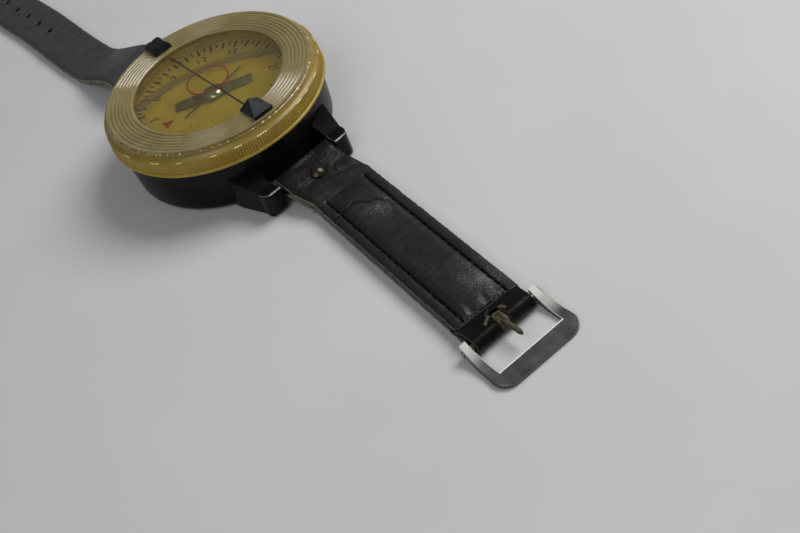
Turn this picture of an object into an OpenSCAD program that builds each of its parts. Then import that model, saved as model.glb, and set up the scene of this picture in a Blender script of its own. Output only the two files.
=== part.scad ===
// Liquid-filled wrist compass for airmen: moulded case with strap lugs, sealed dial capsule,
// clear turning bezel with two sights, pivoted magnet needle, and a two-piece leather strap.
// Millimetres. The origin is the middle of the base, +X runs to the buckle, +Z is up.

/* [Case] */
// Outer radius of the case at its rim
case_r = 29.2; // [27:0.1:33]
// How much smaller the case is at its base
case_taper = 0.7; // [0:0.1:2]
// Height of the case rim above the base
case_h = 14.4; // [13:0.1:18]
// Thickness of the case wall at the rim
case_wall = 3.2; // [2.6:0.1:3.6]
// Thickness of the case floor
case_floor = 2.6; // [1.5:0.1:4]
// Radius of the rounded edge round the base
case_round = 2.4; // [1:0.1:3]

/* [Lugs] */
// Clear space between the two lugs of a pair
lug_gap = 19.2; // [18.6:0.1:22]
// Width of one lug
lug_w = 4.8; // [4:0.1:6]
// Reach of a lug past the lug bar
lug_nose = 3.0; // [2.6:0.1:4]
// Height of a lug at its nose
lug_h = 7.4; // [7:0.1:8.5]
// Rise of the lug top from its nose to the case wall
lug_rise = 1.4; // [0:0.1:3]
// Height of the underside of a lug above the base
lug_lift = 0.3; // [0.2:0.1:1]
// Corner radius of the lug nose, seen from above
lug_round = 2.6; // [1:0.1:3.5]
// Distance of a lug bar from the case wall
bar_off = 4.3; // [3.8:0.1:6]
// Height of the lug bars above the base
bar_z = 4.7; // [4.4:0.1:4.9]
// Radius of the lug bars
bar_r = 0.9; // [0.7:0.05:1]
// Depth to which a lug bar is seated in each lug
bar_seat = 2.4; // [1.5:0.1:3]

/* [Capsule] */
// Depth of the dial seat below the case rim
dial_drop = 3.8; // [3:0.1:4.5]
// Thickness of the web that carries the dial
web_t = 1.6; // [1:0.1:2.5]
// Wall of the capsule bowl
bowl_wall = 2.5; // [2:0.1:3]
// Clear height of the capsule above the dial seat
chamber_h = 5.4; // [4.8:0.1:7]
// Thickness of the dial plate
dial_t = 0.8; // [0.4:0.1:1]
// Thickness of the window gasket
gasket_t = 0.5; // [0.3:0.1:1]
// Width of the window gasket
gasket_w = 1.6; // [1:0.1:1.9]
// Thickness of the capsule window
window_t = 2.0; // [1.2:0.1:3]
// Wall of the lock ring round the capsule
lock_wall = 0.9; // [0.9:0.05:1.2]
// Thickness of the lock ring lip over the window
lip_t = 0.5; // [0.4:0.1:1]
// Overlap of the lock ring lip on the window
lip_w = 1.6; // [0.8:0.1:2]

/* [Bezel] */
// How far the bezel skirt stands out past the case wall
skirt_out = 1.2; // [0.8:0.1:2]
// Inward step from the skirt to the flat top
top_step = 1.9; // [1:0.1:2.2]
// Thickness of the clear top plate
plate_t = 2.2; // [1.5:0.1:3]
// Height of the sloping shoulder below the top edge
shoulder_h = 1.9; // [1.5:0.1:3]
// Depth of the upright rim at the top edge
edge_h = 0.5; // [0.3:0.1:0.8]
// Height of the smooth lip at the bottom
foot_h = 0.7; // [0.4:0.1:1]
// How far the bottom lip stands out past the skirt
foot_out = 0.3; // [0.1:0.05:0.6]
// Number of teeth round the skirt
teeth = 240; // [60:10:300]
// Depth of the teeth
tooth_h = 0.35; // [0.2:0.05:0.4]
// Number of fine rings cut in the top
ring_count = 6; // [1:1:9]
// Width of the band that the fine rings cover
ring_band = 6.3; // [4:0.1:7]
// Width of one fine ring
ring_w = 0.4; // [0.2:0.02:0.4]
// Depth of one fine ring
ring_d = 0.22; // [0.1:0.02:0.4]
// Wire radius of the spring ring that holds the bezel
spring_wire = 0.45; // [0.3:0.05:0.5]
// Gap between the ends of the spring ring, in degrees
spring_split = 24; // [10:1:60]

/* [Sights] */
// Turn of the bezel at rest, in degrees
bezel_turn = -2.5; // [-30:0.5:30]
// Length of the front sight along the course line
front_len = 7.2; // [5:0.1:8]
// Width of the front sight
front_w = 5.8; // [4:0.1:7]
// Height of the front sight
front_h = 3.0; // [2:0.1:5]
// Height of the plinth under the front sight's point
front_plinth = 1.0; // [0.5:0.1:1.5]
// Height of the front sight at its inner end
front_toe = 0.4; // [0.2:0.1:1]
// Distance of the front sight from the top edge
front_in = 0.9; // [0.2:0.1:2]
// Length of the rear sight along the course line
rear_len = 6.0; // [4:0.1:7]
// Width of the rear sight
rear_w = 5.6; // [4:0.1:7]
// Height of the rear sight
rear_h = 1.6; // [1.3:0.1:3]
// Width of the notch in the rear sight
notch_w = 1.4; // [1:0.1:3]
// Depth of the notch in the rear sight
notch_d = 0.5; // [0.4:0.1:1.2]
// Chamfer along the sides of the rear sight
rear_ease = 0.8; // [0.3:0.1:1.2]
// Distance of the rear sight from the top edge
rear_in = 0.3; // [0.2:0.1:2]

/* [Needle] */
// Turn of the needle at rest, in degrees
needle_turn = 63.5; // [0:0.5:360]
// Length of the magnet needle
needle_len = 22; // [16:0.5:34]
// Width of the needle at its hub
needle_w = 4.6; // [4.4:0.1:7]
// Width of the needle at its ends
needle_tip_w = 3.4; // [1:0.1:4]
// Thickness of the needle
needle_t = 0.6; // [0.4:0.1:0.8]
// Height of the needle above the dial
needle_gap = 0.6; // [0.4:0.1:0.8]
// Radius of the hub flange
hub_r = 3.4; // [2.6:0.1:4]
// Height of the domed hub above the needle
hub_h = 1.5; // [1:0.1:1.5]
// Radius of the jewel in the hub
jewel_r = 1.4; // [1.2:0.1:1.6]
// Thickness of the jewel
jewel_t = 0.5; // [0.4:0.05:0.6]
// Radius of the pivot post
post_r = 1.0; // [0.7:0.1:1.1]

/* [Strap] */
// Width of the strap at the lugs
strap_w = 17.4; // [12:0.1:17.8]
// Thickness of one layer of leather
leather_t = 1.4; // [1:0.05:1.4]
// Thickness of the filler in the short strap
filler_t = 1.0; // [0.6:0.05:1.2]
// Distance from the lug bar to where the short strap lies flat
short_fall = 16.5; // [14:0.5:24]
// Length of the short strap from the lug bar to its end
short_len = 74; // [60:0.5:110]
// In-plane set of the short strap, in degrees
short_set = -8; // [-10:0.5:4]
// Sideways shift of the short strap before its set
short_shift = 1.3; // [0:0.1:2]
// Distance from the lug bar to where the long strap crests
crest_at = 15; // [12:0.5:20]
// Rise of the long strap's crest over the lug bar
crest_rise = 2.6; // [0:0.1:3]
// Distance from the lug bar to where the long strap lies flat
long_fall = 40; // [36:0.5:60]
// Length of the long strap from the lug bar to its tip
long_len = 132; // [120:1:200]
// Width of the long strap past its taper
long_w = 14.6; // [11:0.1:17]
// Number of buckle holes
hole_count = 6; // [1:1:7]
// Distance from the lug bar to the first hole
hole_first = 69; // [60:0.5:75]
// Distance between holes
hole_pitch = 8; // [5:0.5:8.5]
// Radius of the buckle holes
hole_r = 1.2; // [0.9:0.1:1.6]
// Distance from the lug bar to the rivet
rivet_at = 5.2; // [4.8:0.1:8]
// Radius of the rivet head
rivet_r = 1.95; // [1.6:0.05:2.3]
// Height of the rivet head
rivet_h = 1.1; // [0.6:0.05:2]
// Radius of the rivet shank
shank_r = 1.0; // [0.6:0.05:1.2]

/* [Buckle] */
// Distance from the end of the short strap to the buckle bar
buckle_off = 4.6; // [4.2:0.1:7]
// Height of the buckle bar above the base plane
buckle_z = 2.2; // [2.1:0.05:3]
// In-plane turn of the buckle, in degrees
buckle_set = -4; // [-10:0.5:10]
// Radius of the buckle bar
pin_r = 0.8; // [0.6:0.05:0.9]
// Thickness of the buckle plate
buckle_t = 1.3; // [0.8:0.05:1.6]
// Clear width inside the buckle
buckle_in_w = 18.6; // [18.4:0.1:22]
// Clear reach from the buckle bar to the front of the window
buckle_in_l = 9.0; // [8.6:0.1:14]
// Width of a buckle leg at its tip
leg_w = 1.9; // [1.4:0.1:2.6]
// Outward flare of the legs towards the front
leg_flare = 0.6; // [0:0.1:1.5]
// Width of the front bar
front_bar_w = 4.8; // [3:0.1:6]
// Corner radius of the buckle
buckle_round = 4.6; // [2:0.1:5]
// Half height of a leg tip round the bar
tip_half = 1.3; // [1.25:0.05:1.6]
// Reach of a leg tip behind the bar
tip_end = 1.4; // [1.3:0.05:1.8]
// Distance in front of the bar at which the legs start to rise
leg_rise = 5.0; // [4:0.1:7]
// Thickness of the leather loop round the buckle bar
loop_t = 0.9; // [0.6:0.05:1]
// Width of the leather loop
loop_w = 16.8; // [12:0.1:17]
// Width of the slot for the prong
slot_w = 3.6; // [3.3:0.1:5]
// Width of the prong's curl
prong_w = 2.6; // [1.6:0.1:2.7]
// Width of the prong's tongue
tongue_w = 1.5; // [1:0.1:2.5]
// Reach of the prong from the buckle bar
prong_len = 7.6; // [5:0.1:7.8]
// Thickness of the prong at its root
prong_t = 1.5; // [0.9:0.05:1.6]
// Upward tilt of the prong at rest, in degrees
prong_tilt = 8; // [0:1:20]

/* [Fits] */
// Gap between turning pieces
turn_gap = 0.3; // [0.25:0.05:0.4]
// Slack of pieces that are pushed together
push_gap = 0.05; // [0.02:0.01:0.1]

/* [Hidden] */
$fn = 96;
over = 0.5;
ease_steps = 12;
station_gap = 0.2;
slope_step = 0.1;

// Radii from the case inwards and outwards
base_r = case_r - case_taper;
bowl_r = case_r - case_wall - push_gap;
bowl_in_r = bowl_r - bowl_wall;
dial_r = bowl_in_r - push_gap;
window_r = bowl_r - push_gap;
lock_in_r = bowl_r + push_gap;
lock_r = lock_in_r + lock_wall;
skirt_in_r = lock_r + turn_gap;
skirt_r = case_r + skirt_out;
top_r = skirt_r - top_step;
spring_r = lock_r + spring_wire / 2;

// Heights from the case rim
seat_z = case_h - dial_drop;
dial_top = seat_z + dial_t;
bowl_top = seat_z + chamber_h;
window_z = bowl_top + gasket_t;
lip_z = window_z + window_t;
lock_top = lip_z + lip_t;
skirt_z = case_h + turn_gap;
plate_z = lock_top + turn_gap;
top_z = plate_z + plate_t;
shoulder_z = top_z - edge_h - shoulder_h;
spring_z = (skirt_z + plate_z) / 2;
ring_edge = 0.7;
shoulder_in = 0.2;
shoulder_cuts = 4;

// Sights
front_tip_share = 0.24;

// Needle and pivot
needle_z = dial_top + needle_gap;
hub_z = needle_z + needle_t;
hub_in_r = jewel_r;
spigot_wall = 0.6;
spigot_r = jewel_r + spigot_wall;
jewel_top = hub_z + hub_h / 2;
jewel_z = jewel_top - jewel_t;
cup_depth_share = 0.7;
cup_width_share = 0.55;
jewel_cup = jewel_t * cup_depth_share;
tip_r = 0.15;
tip_z = jewel_z + jewel_cup - push_gap;
cone_clear = 0.1;
cone_z = dial_top + cone_clear;

// Lugs and lug bars
bar_x = case_r + bar_off;
bar_len = lug_gap + 2 * bar_seat;
nose_x = bar_x + lug_nose;
lug_in = lug_gap / 2;
lug_out = lug_in + lug_w;
lug_root = base_r - 8;
flank_x = base_r - 4;
flank_end = bar_x - 1;
flank_root_w = 3;
flank_w = 2.2;
nose_ease = 1;
nose_drop = 0.8;
slope_end = case_r - 2;

// Strap layers
loop_in_r = bar_r + turn_gap;
loop_out_r = loop_in_r + leather_t;
pinch_at = 7;
fold_end = 10.5;
fold_gap = 0.3;
loop_lap = 0.2;
straight_run = 5.5;
bend_at = 13;
side_slack = lug_in - strap_w / 2;
short_y = min(0.3, side_slack / 2);
short_flat = leather_t + filler_t / 2;
long_flat = leather_t;
end_run = short_len - bend_at;
tail_run = 6;
tip_run = 10;
tip_cuts = 8;
tip_fullness = 0.15;
crest_bow = -0.4;
fall_bow = -3;
hole_bow = -0.8;
tip_bow = 0.2;
hole_y = -1.5;
hole_drift = 0.3;
washer_share = 0.85;
tail_share = 0.85;

// Buckle
strap_end = [bar_x + bend_at + end_run * cos(short_set),
    short_y + short_shift + end_run * sin(short_set)];
pin_at = strap_end + buckle_off * [cos(short_set), sin(short_set)];
pin_hole_r = pin_r + push_gap;
pin_loop_r = pin_r + turn_gap;
ring_out_r = pin_loop_r + loop_t;
leg_in = buckle_in_w / 2;
leg_out = leg_in + leg_w;
frame_front = buckle_in_l + front_bar_w;
front_out = leg_out + leg_flare;
pin_end = 0.3;
pin_len = 2 * (leg_out + pin_end);
leg_top = buckle_t - buckle_z;
tip_flat = pin_r + push_gap;
buckle_side = [[-2 * tip_end, -tip_half], [tip_flat, -tip_half], [leg_rise - tip_half, -buckle_z],
    [2 * frame_front, -buckle_z], [2 * frame_front, leg_top], [leg_rise, leg_top],
    [tip_flat, tip_half], [-2 * tip_end, tip_half]];
prong_nose = [[-0.8, 0.35], [0, 0.7], [-0.3, 1.2], [-1, prong_t]];

// Smooth step from 0 to 1
function ease(t) = let (c = min(1, max(0, t))) c * c * (3 - 2 * c);
// Half the gap between the layers, at a distance from the lug bar
function layer_half(d, last) = loop_in_r + (last - loop_in_r) * ease(d / pinch_at);
// Height of the middle of each strap, at a distance from its lug bar
function short_mid(d) = bar_z + (short_flat - bar_z) * ease(d / short_fall);
function long_mid(d) = bar_z + crest_rise * ease(d / crest_at)
    + (long_flat - bar_z - crest_rise) * ease((d - crest_at) / (long_fall - crest_at));
function strap_mid(d, long) = long ? long_mid(d) : short_mid(d);
function strap_half(d, long) = layer_half(d, long ? 0 : filler_t / 2);
function strap_flat(long) = long ? long_fall : short_fall;
// Distances along a strap at which its curve is cut, from a start to an end
function stations(a, b, long) = let (n = ease_steps * (long ? 2 : 1), f = strap_flat(long))
    [a, for (i = [1 : n]) let (d = f * i / n) if (d > a + station_gap && d < b - station_gap) d, b];
// Slope of the strap in degrees, at a distance from its lug bar
function strap_slope(d, long) =
    -atan2(strap_mid(d + slope_step, long) - strap_mid(d - slope_step, long), 2 * slope_step);

// Height of the inner (0) or outer (1) face of the upper (1) or lower (-1) layer of a strap
function face_z(d, long, side, out) =
    strap_mid(d, long) + side * (strap_half(d, long) + out * leather_t);

// A band between two faces of a strap, seen from the side
module band(d, under, upper) {
    n = len(d);
    polygon(concat([for (i = [0 : n - 1]) [bar_x + d[i], under[i]]],
        [for (i = [1 : n]) [bar_x + d[n - i], upper[n - i]]]));
}

// The upper layer, the lower layer and the space between them, seen from the side
module upper_side(a, b, long) {
    d = stations(a, b, long);
    band(d, [for (x = d) face_z(x, long, 1, 0)], [for (x = d) face_z(x, long, 1, 1)]);
}
module lower_side(a, b, long) {
    d = stations(a, b, long);
    band(d, [for (x = d) face_z(x, long, -1, 1)], [for (x = d) face_z(x, long, -1, 0)]);
}
module filler_side(a, b) {
    d = stations(a, b, false);
    band(d, [for (x = d) face_z(x, false, -1, 0)], [for (x = d) face_z(x, false, 1, 0)]);
}

// Half of the leather loop on the case side of a lug bar
module loop_side() {
    difference() {
        translate([bar_x, bar_z]) circle(r = loop_out_r);
        translate([bar_x, bar_z]) circle(r = loop_in_r);
        translate([bar_x + loop_lap, bar_z - 2 * loop_out_r]) square([2 * loop_out_r, 4 * loop_out_r]);
    }
}

// A side outline drawn out across the strap
module across(w) {
    rotate([90, 0, 0]) linear_extrude(height = w, center = true) children();
}

// Plan of the short strap: straight at the lugs, then turned by its set
module short_plan() {
    half = strap_w / 2;
    bend = [bar_x + bend_at, short_y + short_shift];
    side = half * [-sin(short_set), cos(short_set)];
    mid_side = half * [-sin(short_set / 2), cos(short_set / 2)];
    polygon([[bar_x - loop_out_r - over, short_y - half], [bar_x + straight_run, short_y - half],
        bend - mid_side, strap_end - side, strap_end + side, bend + mid_side,
        [bar_x + straight_run, short_y + half], [bar_x - loop_out_r - over, short_y + half]]);
}

// Plan of the long strap: full width at the lugs, tapered, with a gentle bow and a rounded point
module long_plan() {
    tip_x = long_len - tip_run;
    run = [[-loop_out_r - over, 0, strap_w], [straight_run, 0, strap_w], [crest_at, crest_bow, strap_w],
        [long_fall, fall_bow, long_w],
        [hole_first + 2 * hole_pitch, hole_bow, long_w], [tip_x, tip_bow, long_w]];
    tip = [for (i = [1 : tip_cuts - 1]) let (a = 90 * i / tip_cuts)
        [tip_x + tip_run * sin(a), tip_bow, long_w * cos(a) * (1 - tip_fullness * sin(2 * a))]];
    all = concat(run, tip);
    n = len(all);
    polygon(concat([for (p = all) [bar_x + p[0], p[1] - p[2] / 2]], [[bar_x + long_len, tip_bow]],
        [for (i = [1 : n]) let (p = all[n - i]) [bar_x + p[0], p[1] + p[2] / 2]]));
}

// A strap layer: its side outline cut to the strap's plan
module cut_to_plan(long) {
    intersection() {
        across(4 * strap_w) children();
        translate([0, 0, -over]) linear_extrude(height = 30)
            if (long) long_plan(); else short_plan();
    }
}

// Place of a rivet, square to the strap
module at_rivet(long) {
    translate([bar_x + rivet_at, long ? 0 : short_y, strap_mid(rivet_at, long)])
        rotate([0, strap_slope(rivet_at, long), 0]) children();
}

// Half the length of a rivet between its head and its washer
function rivet_reach(long) = strap_half(rivet_at, long) + leather_t;

// Shank hole of a rivet, with the seats that its head and washer press into the leather
module rivet_hole(long) {
    seat = rivet_reach(long);
    at_rivet(long) {
        cylinder(r = shank_r + push_gap, h = 4 * seat, center = true);
        for (k = [0, 1]) mirror([0, 0, k]) translate([0, 0, seat])
            cylinder(r = rivet_r + turn_gap, h = seat);
    }
}

// Domed rivet with its clenched washer under the strap
module rivet(long) {
    reach = rivet_reach(long) + push_gap;
    ball = (rivet_r * rivet_r + rivet_h * rivet_h) / (2 * rivet_h);
    at_rivet(long) {
        translate([0, 0, -reach - over]) cylinder(r = shank_r, h = 2 * reach + 2 * over);
        intersection() {
            translate([0, 0, reach + rivet_h - ball]) sphere(r = ball);
            translate([0, 0, reach]) cylinder(r = rivet_r, h = rivet_h + over);
        }
        translate([0, 0, -reach - over]) cylinder(r = rivet_r * washer_share, h = over);
    }
}

// Leather of a strap: over the top, round the lug bar and back under as far as the fold
module strap_leather(long) {
    last = long ? long_len : short_len + over;
    difference() {
        cut_to_plan(long) union() {
            upper_side(0, last, long);
            loop_side();
            lower_side(0, fold_end, long);
        }
        rivet_hole(long);
        if (long) strap_holes();
    }
}

// Lining under a strap, from the fold to the end
module strap_lining(long) {
    last = long ? long_len : short_len + over;
    difference() {
        cut_to_plan(long) lower_side(fold_end + fold_gap, last, long);
        if (long) strap_holes();
    }
}

// Row of buckle holes along the long strap
module strap_holes() {
    for (i = [0 : hole_count - 1])
        translate([bar_x + hole_first + i * hole_pitch, hole_y + hole_drift * i, -over])
            cylinder(r = hole_r, h = 4 * leather_t);
}

// Things drawn at the buckle: x runs outwards from the buckle bar, y along it
module at_buckle() {
    translate([pin_at[0], pin_at[1], buckle_z]) rotate([0, 0, buckle_set]) children();
}

// A round bar along y
module along_y(r, len) {
    rotate([90, 0, 0]) cylinder(r = r, h = len, center = true);
}

// One lug seen from above, on the positive side
module lug_plan() {
    run = nose_x - lug_root;
    translate([lug_root, lug_in]) square([run - lug_round, lug_w]);
    translate([lug_root, lug_in]) square([run, lug_w - lug_round]);
    translate([nose_x - lug_round, lug_out - lug_round]) circle(r = lug_round);
    polygon([[lug_root, lug_in], [flank_end, lug_in], [flank_end, lug_out],
        [flank_x, lug_out + flank_w], [lug_root, lug_out + flank_root_w]]);
}

// Side outline that gives a lug its height and its sloping top
module lug_side() {
    polygon([[lug_root, lug_lift], [nose_x - nose_ease, lug_lift], [nose_x, lug_lift + nose_ease],
        [nose_x, lug_h - nose_drop], [nose_x - nose_ease, lug_h], [flank_end, lug_h],
        [slope_end, lug_h + lug_rise], [lug_root, lug_h + lug_rise]]);
}

// One lug with the blind hole for its lug bar
module lug() {
    difference() {
        intersection() {
            linear_extrude(height = case_h) lug_plan();
            across(8 * lug_out) lug_side();
        }
        translate([bar_x, lug_in - over, bar_z]) rotate([-90, 0, 0])
            cylinder(r = bar_r + push_gap, h = bar_seat + over + push_gap);
    }
}

// Round cup with a rounded base edge and four lugs
module case_body() {
    color([0.10, 0.10, 0.11]) difference() {
        union() {
            rotate_extrude() {
                polygon([[0, 0], [base_r - case_round, 0], [base_r, case_round], [case_r, case_h],
                    [0, case_h]]);
                translate([base_r - case_round, case_round]) circle(r = case_round);
            }
            for (m = [0, 1], k = [0, 1]) mirror([m, 0, 0]) mirror([0, k, 0]) lug();
        }
        translate([0, 0, case_floor]) cylinder(r = case_r - case_wall, h = case_h);
    }
}

// Bar between the lugs on the buckle side
module front_lug_bar() {
    color("silver") translate([bar_x, 0, bar_z]) along_y(bar_r, bar_len);
}

// Bar between the lugs on the far side
module rear_lug_bar() {
    color("silver") translate([-bar_x, 0, bar_z]) along_y(bar_r, bar_len);
}

// Bowl of the liquid capsule, with a web that carries the dial and the pivot post
module capsule_bowl() {
    color([0.80, 0.72, 0.45]) rotate_extrude() polygon([[bowl_in_r, case_floor], [bowl_r, case_floor],
        [bowl_r, bowl_top], [bowl_in_r, bowl_top], [bowl_in_r, seat_z], [post_r, seat_z],
        [post_r, seat_z - web_t], [bowl_in_r, seat_z - web_t]]);
}

// Printed dial on the web of the bowl
module dial_plate() {
    color([0.86, 0.76, 0.42]) translate([0, 0, seat_z]) difference() {
        cylinder(r = dial_r, h = dial_t);
        translate([0, 0, -over]) cylinder(r = post_r + push_gap, h = dial_t + 2 * over);
    }
}

// Pointed post on which the needle turns
module pivot_post() {
    color("goldenrod") rotate_extrude() polygon([[0, seat_z - web_t], [post_r, seat_z - web_t],
        [post_r, cone_z], [tip_r, tip_z], [0, tip_z]]);
}

// Flat seal between the bowl and the window
module window_gasket() {
    color([0.25, 0.2, 0.15]) translate([0, 0, bowl_top]) difference() {
        cylinder(r = window_r, h = gasket_t);
        translate([0, 0, -over]) cylinder(r = window_r - gasket_w, h = gasket_t + 2 * over);
    }
}

// Clear window that closes the capsule
module capsule_window() {
    color([0.9, 0.88, 0.7, 0.4]) translate([0, 0, window_z]) cylinder(r = window_r, h = window_t);
}

// Ring that clamps the window, with a groove for the bezel spring
module lock_ring() {
    groove_r = spring_r - spring_wire - push_gap;
    groove_h = spring_wire + push_gap;
    color([0.78, 0.70, 0.42]) rotate_extrude() polygon([[lock_in_r, case_h], [lock_r, case_h],
        [lock_r, spring_z - groove_h], [groove_r, spring_z - groove_h],
        [groove_r, spring_z + groove_h], [lock_r, spring_z + groove_h], [lock_r, lock_top],
        [window_r - lip_w, lock_top], [window_r - lip_w, lip_z], [lock_in_r, lip_z]]);
}

// Split wire ring that keeps the bezel down and gives it friction
module bezel_spring() {
    color("silver") translate([0, 0, spring_z]) rotate([0, 0, 90 + spring_split / 2])
        rotate_extrude(angle = 360 - spring_split) translate([spring_r, 0]) circle(r = spring_wire);
}

// Outline of the clear bezel from the axis to the skirt, with its fine rings left out
module bezel_outline() {
    groove_r = spring_r + spring_wire + turn_gap;
    groove_h = spring_wire + turn_gap;
    core_r = skirt_r - tooth_h;
    shoulder_r = core_r - shoulder_in;
    polygon(concat([[0, plate_z], [skirt_in_r, plate_z], [skirt_in_r, spring_z + groove_h],
        [groove_r, spring_z + groove_h], [groove_r, spring_z - groove_h],
        [skirt_in_r, spring_z - groove_h], [skirt_in_r, skirt_z], [skirt_r + foot_out, skirt_z],
        [skirt_r + foot_out, skirt_z + foot_h], [core_r, skirt_z + foot_h], [core_r, shoulder_z]],
        [for (i = [0 : shoulder_cuts]) let (t = i / shoulder_cuts)
            [shoulder_r + (top_r - shoulder_r) * sqrt(t), shoulder_z + shoulder_h * t]],
        [[top_r, top_z], [0, top_z]]));
}

// Clear turning bezel: flat top with fine rings, sloping shoulder and toothed skirt
module bezel_cap() {
    step = ring_band / ring_count;
    tooth_z = skirt_z + foot_h - push_gap;
    color([0.80, 0.70, 0.30, 0.6]) union() {
        rotate_extrude() difference() {
            bezel_outline();
            for (i = [0 : ring_count - 1])
                translate([top_r - ring_edge - step * i - ring_w, top_z - ring_d])
                    square([ring_w, 2 * ring_d]);
        }
        translate([0, 0, tooth_z]) linear_extrude(height = shoulder_z - tooth_z) difference() {
            polygon([for (i = [0 : 2 * teeth - 1]) let (a = 180 * i / teeth,
                r = i % 2 == 0 ? skirt_r : skirt_r - tooth_h / 2) [r * cos(a), r * sin(a)]]);
            circle(r = skirt_r - 1.5 * tooth_h);
        }
    }
}

// Four-sided pyramid on a low plinth, with its point near the inner end
module front_sight() {
    x0 = top_r - front_in - front_len;
    x1 = top_r - front_in;
    tip_x = x0 + front_len * front_tip_share;
    half = front_w / 2;
    color([0.07, 0.07, 0.08]) rotate([0, 0, bezel_turn]) translate([0, 0, top_z]) intersection() {
        across(2 * front_w) polygon([[x0, 0], [x1, 0], [x1, front_plinth], [tip_x, front_h],
            [x0, front_toe]]);
        rotate([0, 0, 90]) across(4 * top_r) polygon([[-half, 0], [half, 0], [half, front_plinth],
            [0, front_h], [-half, front_plinth]]);
    }
}

// Low block with chamfered sides and a V notch along the course line
module rear_sight() {
    half = rear_w / 2;
    color([0.07, 0.07, 0.08]) rotate([0, 0, bezel_turn]) translate([rear_in - top_r, 0, top_z])
        rotate([90, 0, 90]) linear_extrude(height = rear_len) polygon([[-half, 0], [half, 0],
            [half, rear_h - rear_ease], [half - rear_ease, rear_h], [notch_w / 2, rear_h],
            [0, rear_h - notch_d], [-notch_w / 2, rear_h], [rear_ease - half, rear_h],
            [-half, rear_h - rear_ease]]);
}

// Magnet needle: a flat bar, a little narrower at its ends, with a hole for its hub
module needle_bar() {
    a = needle_len / 2;
    b = needle_w / 2;
    c = needle_tip_w / 2;
    color([0.45, 0.44, 0.35]) rotate([0, 0, needle_turn]) translate([0, 0, needle_z])
        linear_extrude(height = needle_t) difference() {
            polygon([[-a, -c], [0, -b], [a, -c], [a, c], [0, b], [-a, c]]);
            circle(r = spigot_r);
        }
}

// Domed hub riveted through the needle
module needle_hub() {
    ball = (hub_r * hub_r + hub_h * hub_h) / (2 * hub_h);
    color([0.62, 0.62, 0.58]) difference() {
        union() {
            translate([0, 0, needle_z]) cylinder(r = spigot_r, h = needle_t + hub_h / 4);
            intersection() {
                translate([0, 0, hub_z + hub_h - ball]) sphere(r = ball);
                translate([0, 0, hub_z]) cylinder(r = hub_r, h = hub_h + over);
            }
        }
        translate([0, 0, needle_z - over]) cylinder(r = hub_in_r, h = jewel_top - needle_z + over);
    }
}

// Cupped jewel that sits on the point of the post
module pivot_jewel() {
    color([0.7, 0.15, 0.2]) translate([0, 0, jewel_z]) difference() {
        cylinder(r = jewel_r, h = jewel_t);
        translate([0, 0, -push_gap])
            cylinder(r1 = jewel_r * cup_width_share, r2 = tip_r, h = jewel_cup + push_gap);
    }
}

// Outer leather of the buckle strap
module short_strap_leather() {
    color([0.13, 0.12, 0.12]) strap_leather(false);
}

// Filler that pads the buckle strap, from the fold to the buckle loop
module short_strap_filler() {
    color([0.45, 0.36, 0.26]) cut_to_plan(false)
        filler_side(fold_end + fold_gap, short_len - tail_run - fold_gap);
}

// Lining of the buckle strap
module short_strap_lining() {
    color([0.30, 0.22, 0.15]) strap_lining(false);
}

// Rivet of the buckle strap
module short_strap_rivet() {
    color("peru") rivet(false);
}

// Leather loop sewn into the strap end, round the buckle bar, with a slot for the prong
module buckle_loop() {
    tail = buckle_off + tail_run * tail_share;
    color([0.14, 0.12, 0.11]) at_buckle() difference() {
        union() {
            along_y(ring_out_r, loop_w);
            translate([-tail, -loop_w / 2, short_flat - filler_t / 2 - buckle_z])
                cube([tail, loop_w, filler_t]);
        }
        along_y(pin_loop_r, 2 * loop_w);
        translate([-ring_out_r - over, -slot_w / 2, -2 * ring_out_r])
            cube([2 * ring_out_r + 2 * over, slot_w, 4 * ring_out_r]);
    }
}

// Bar through the leg tips of the buckle
module buckle_bar() {
    color("silver") at_buckle() along_y(pin_r, pin_len);
}

// Flat frame with a wide front bar and two legs that rise at their tips to hold the bar
module buckle_frame() {
    at_buckle() color([0.68, 0.67, 0.62]) difference() {
        intersection() {
            translate([0, 0, -2 * buckle_z]) linear_extrude(height = 4 * buckle_z) buckle_plan();
            across(4 * leg_out) polygon(buckle_side);
        }
        along_y(pin_hole_r, 4 * leg_out);
    }
}

// Plan of the buckle frame
module buckle_plan() {
    difference() {
        union() {
            polygon([[-tip_end, -leg_out], [frame_front - buckle_round, -front_out],
                [frame_front - buckle_round, front_out], [-tip_end, leg_out]]);
            translate([frame_front - buckle_round - over, buckle_round - front_out])
                square([buckle_round + over, 2 * (front_out - buckle_round)]);
            for (k = [-1, 1]) translate([frame_front - buckle_round, k * (front_out - buckle_round)])
                circle(r = buckle_round);
        }
        translate([-2 * tip_end, -leg_in]) square([2 * tip_end + buckle_in_l, 2 * leg_in]);
    }
}

// Short prong curled round the buckle bar
module buckle_prong() {
    color([0.55, 0.48, 0.28]) at_buckle() rotate([0, -prong_tilt, 0]) difference() {
        union() {
            along_y(ring_out_r, prong_w);
            across(tongue_w) polygon(concat([[0, 0]], [for (p = prong_nose) p + [prong_len, 0]],
                [[0, ring_out_r]]));
        }
        along_y(pin_loop_r, 2 * prong_w);
    }
}

// Leather of the long strap
module long_strap_leather() {
    color([0.13, 0.12, 0.12]) mirror([1, 0, 0]) strap_leather(true);
}

// Lining of the long strap
module long_strap_lining() {
    color([0.42, 0.32, 0.24]) mirror([1, 0, 0]) strap_lining(true);
}

// Rivet of the long strap
module long_strap_rivet() {
    color("peru") mirror([1, 0, 0]) rivet(true);
}

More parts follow.
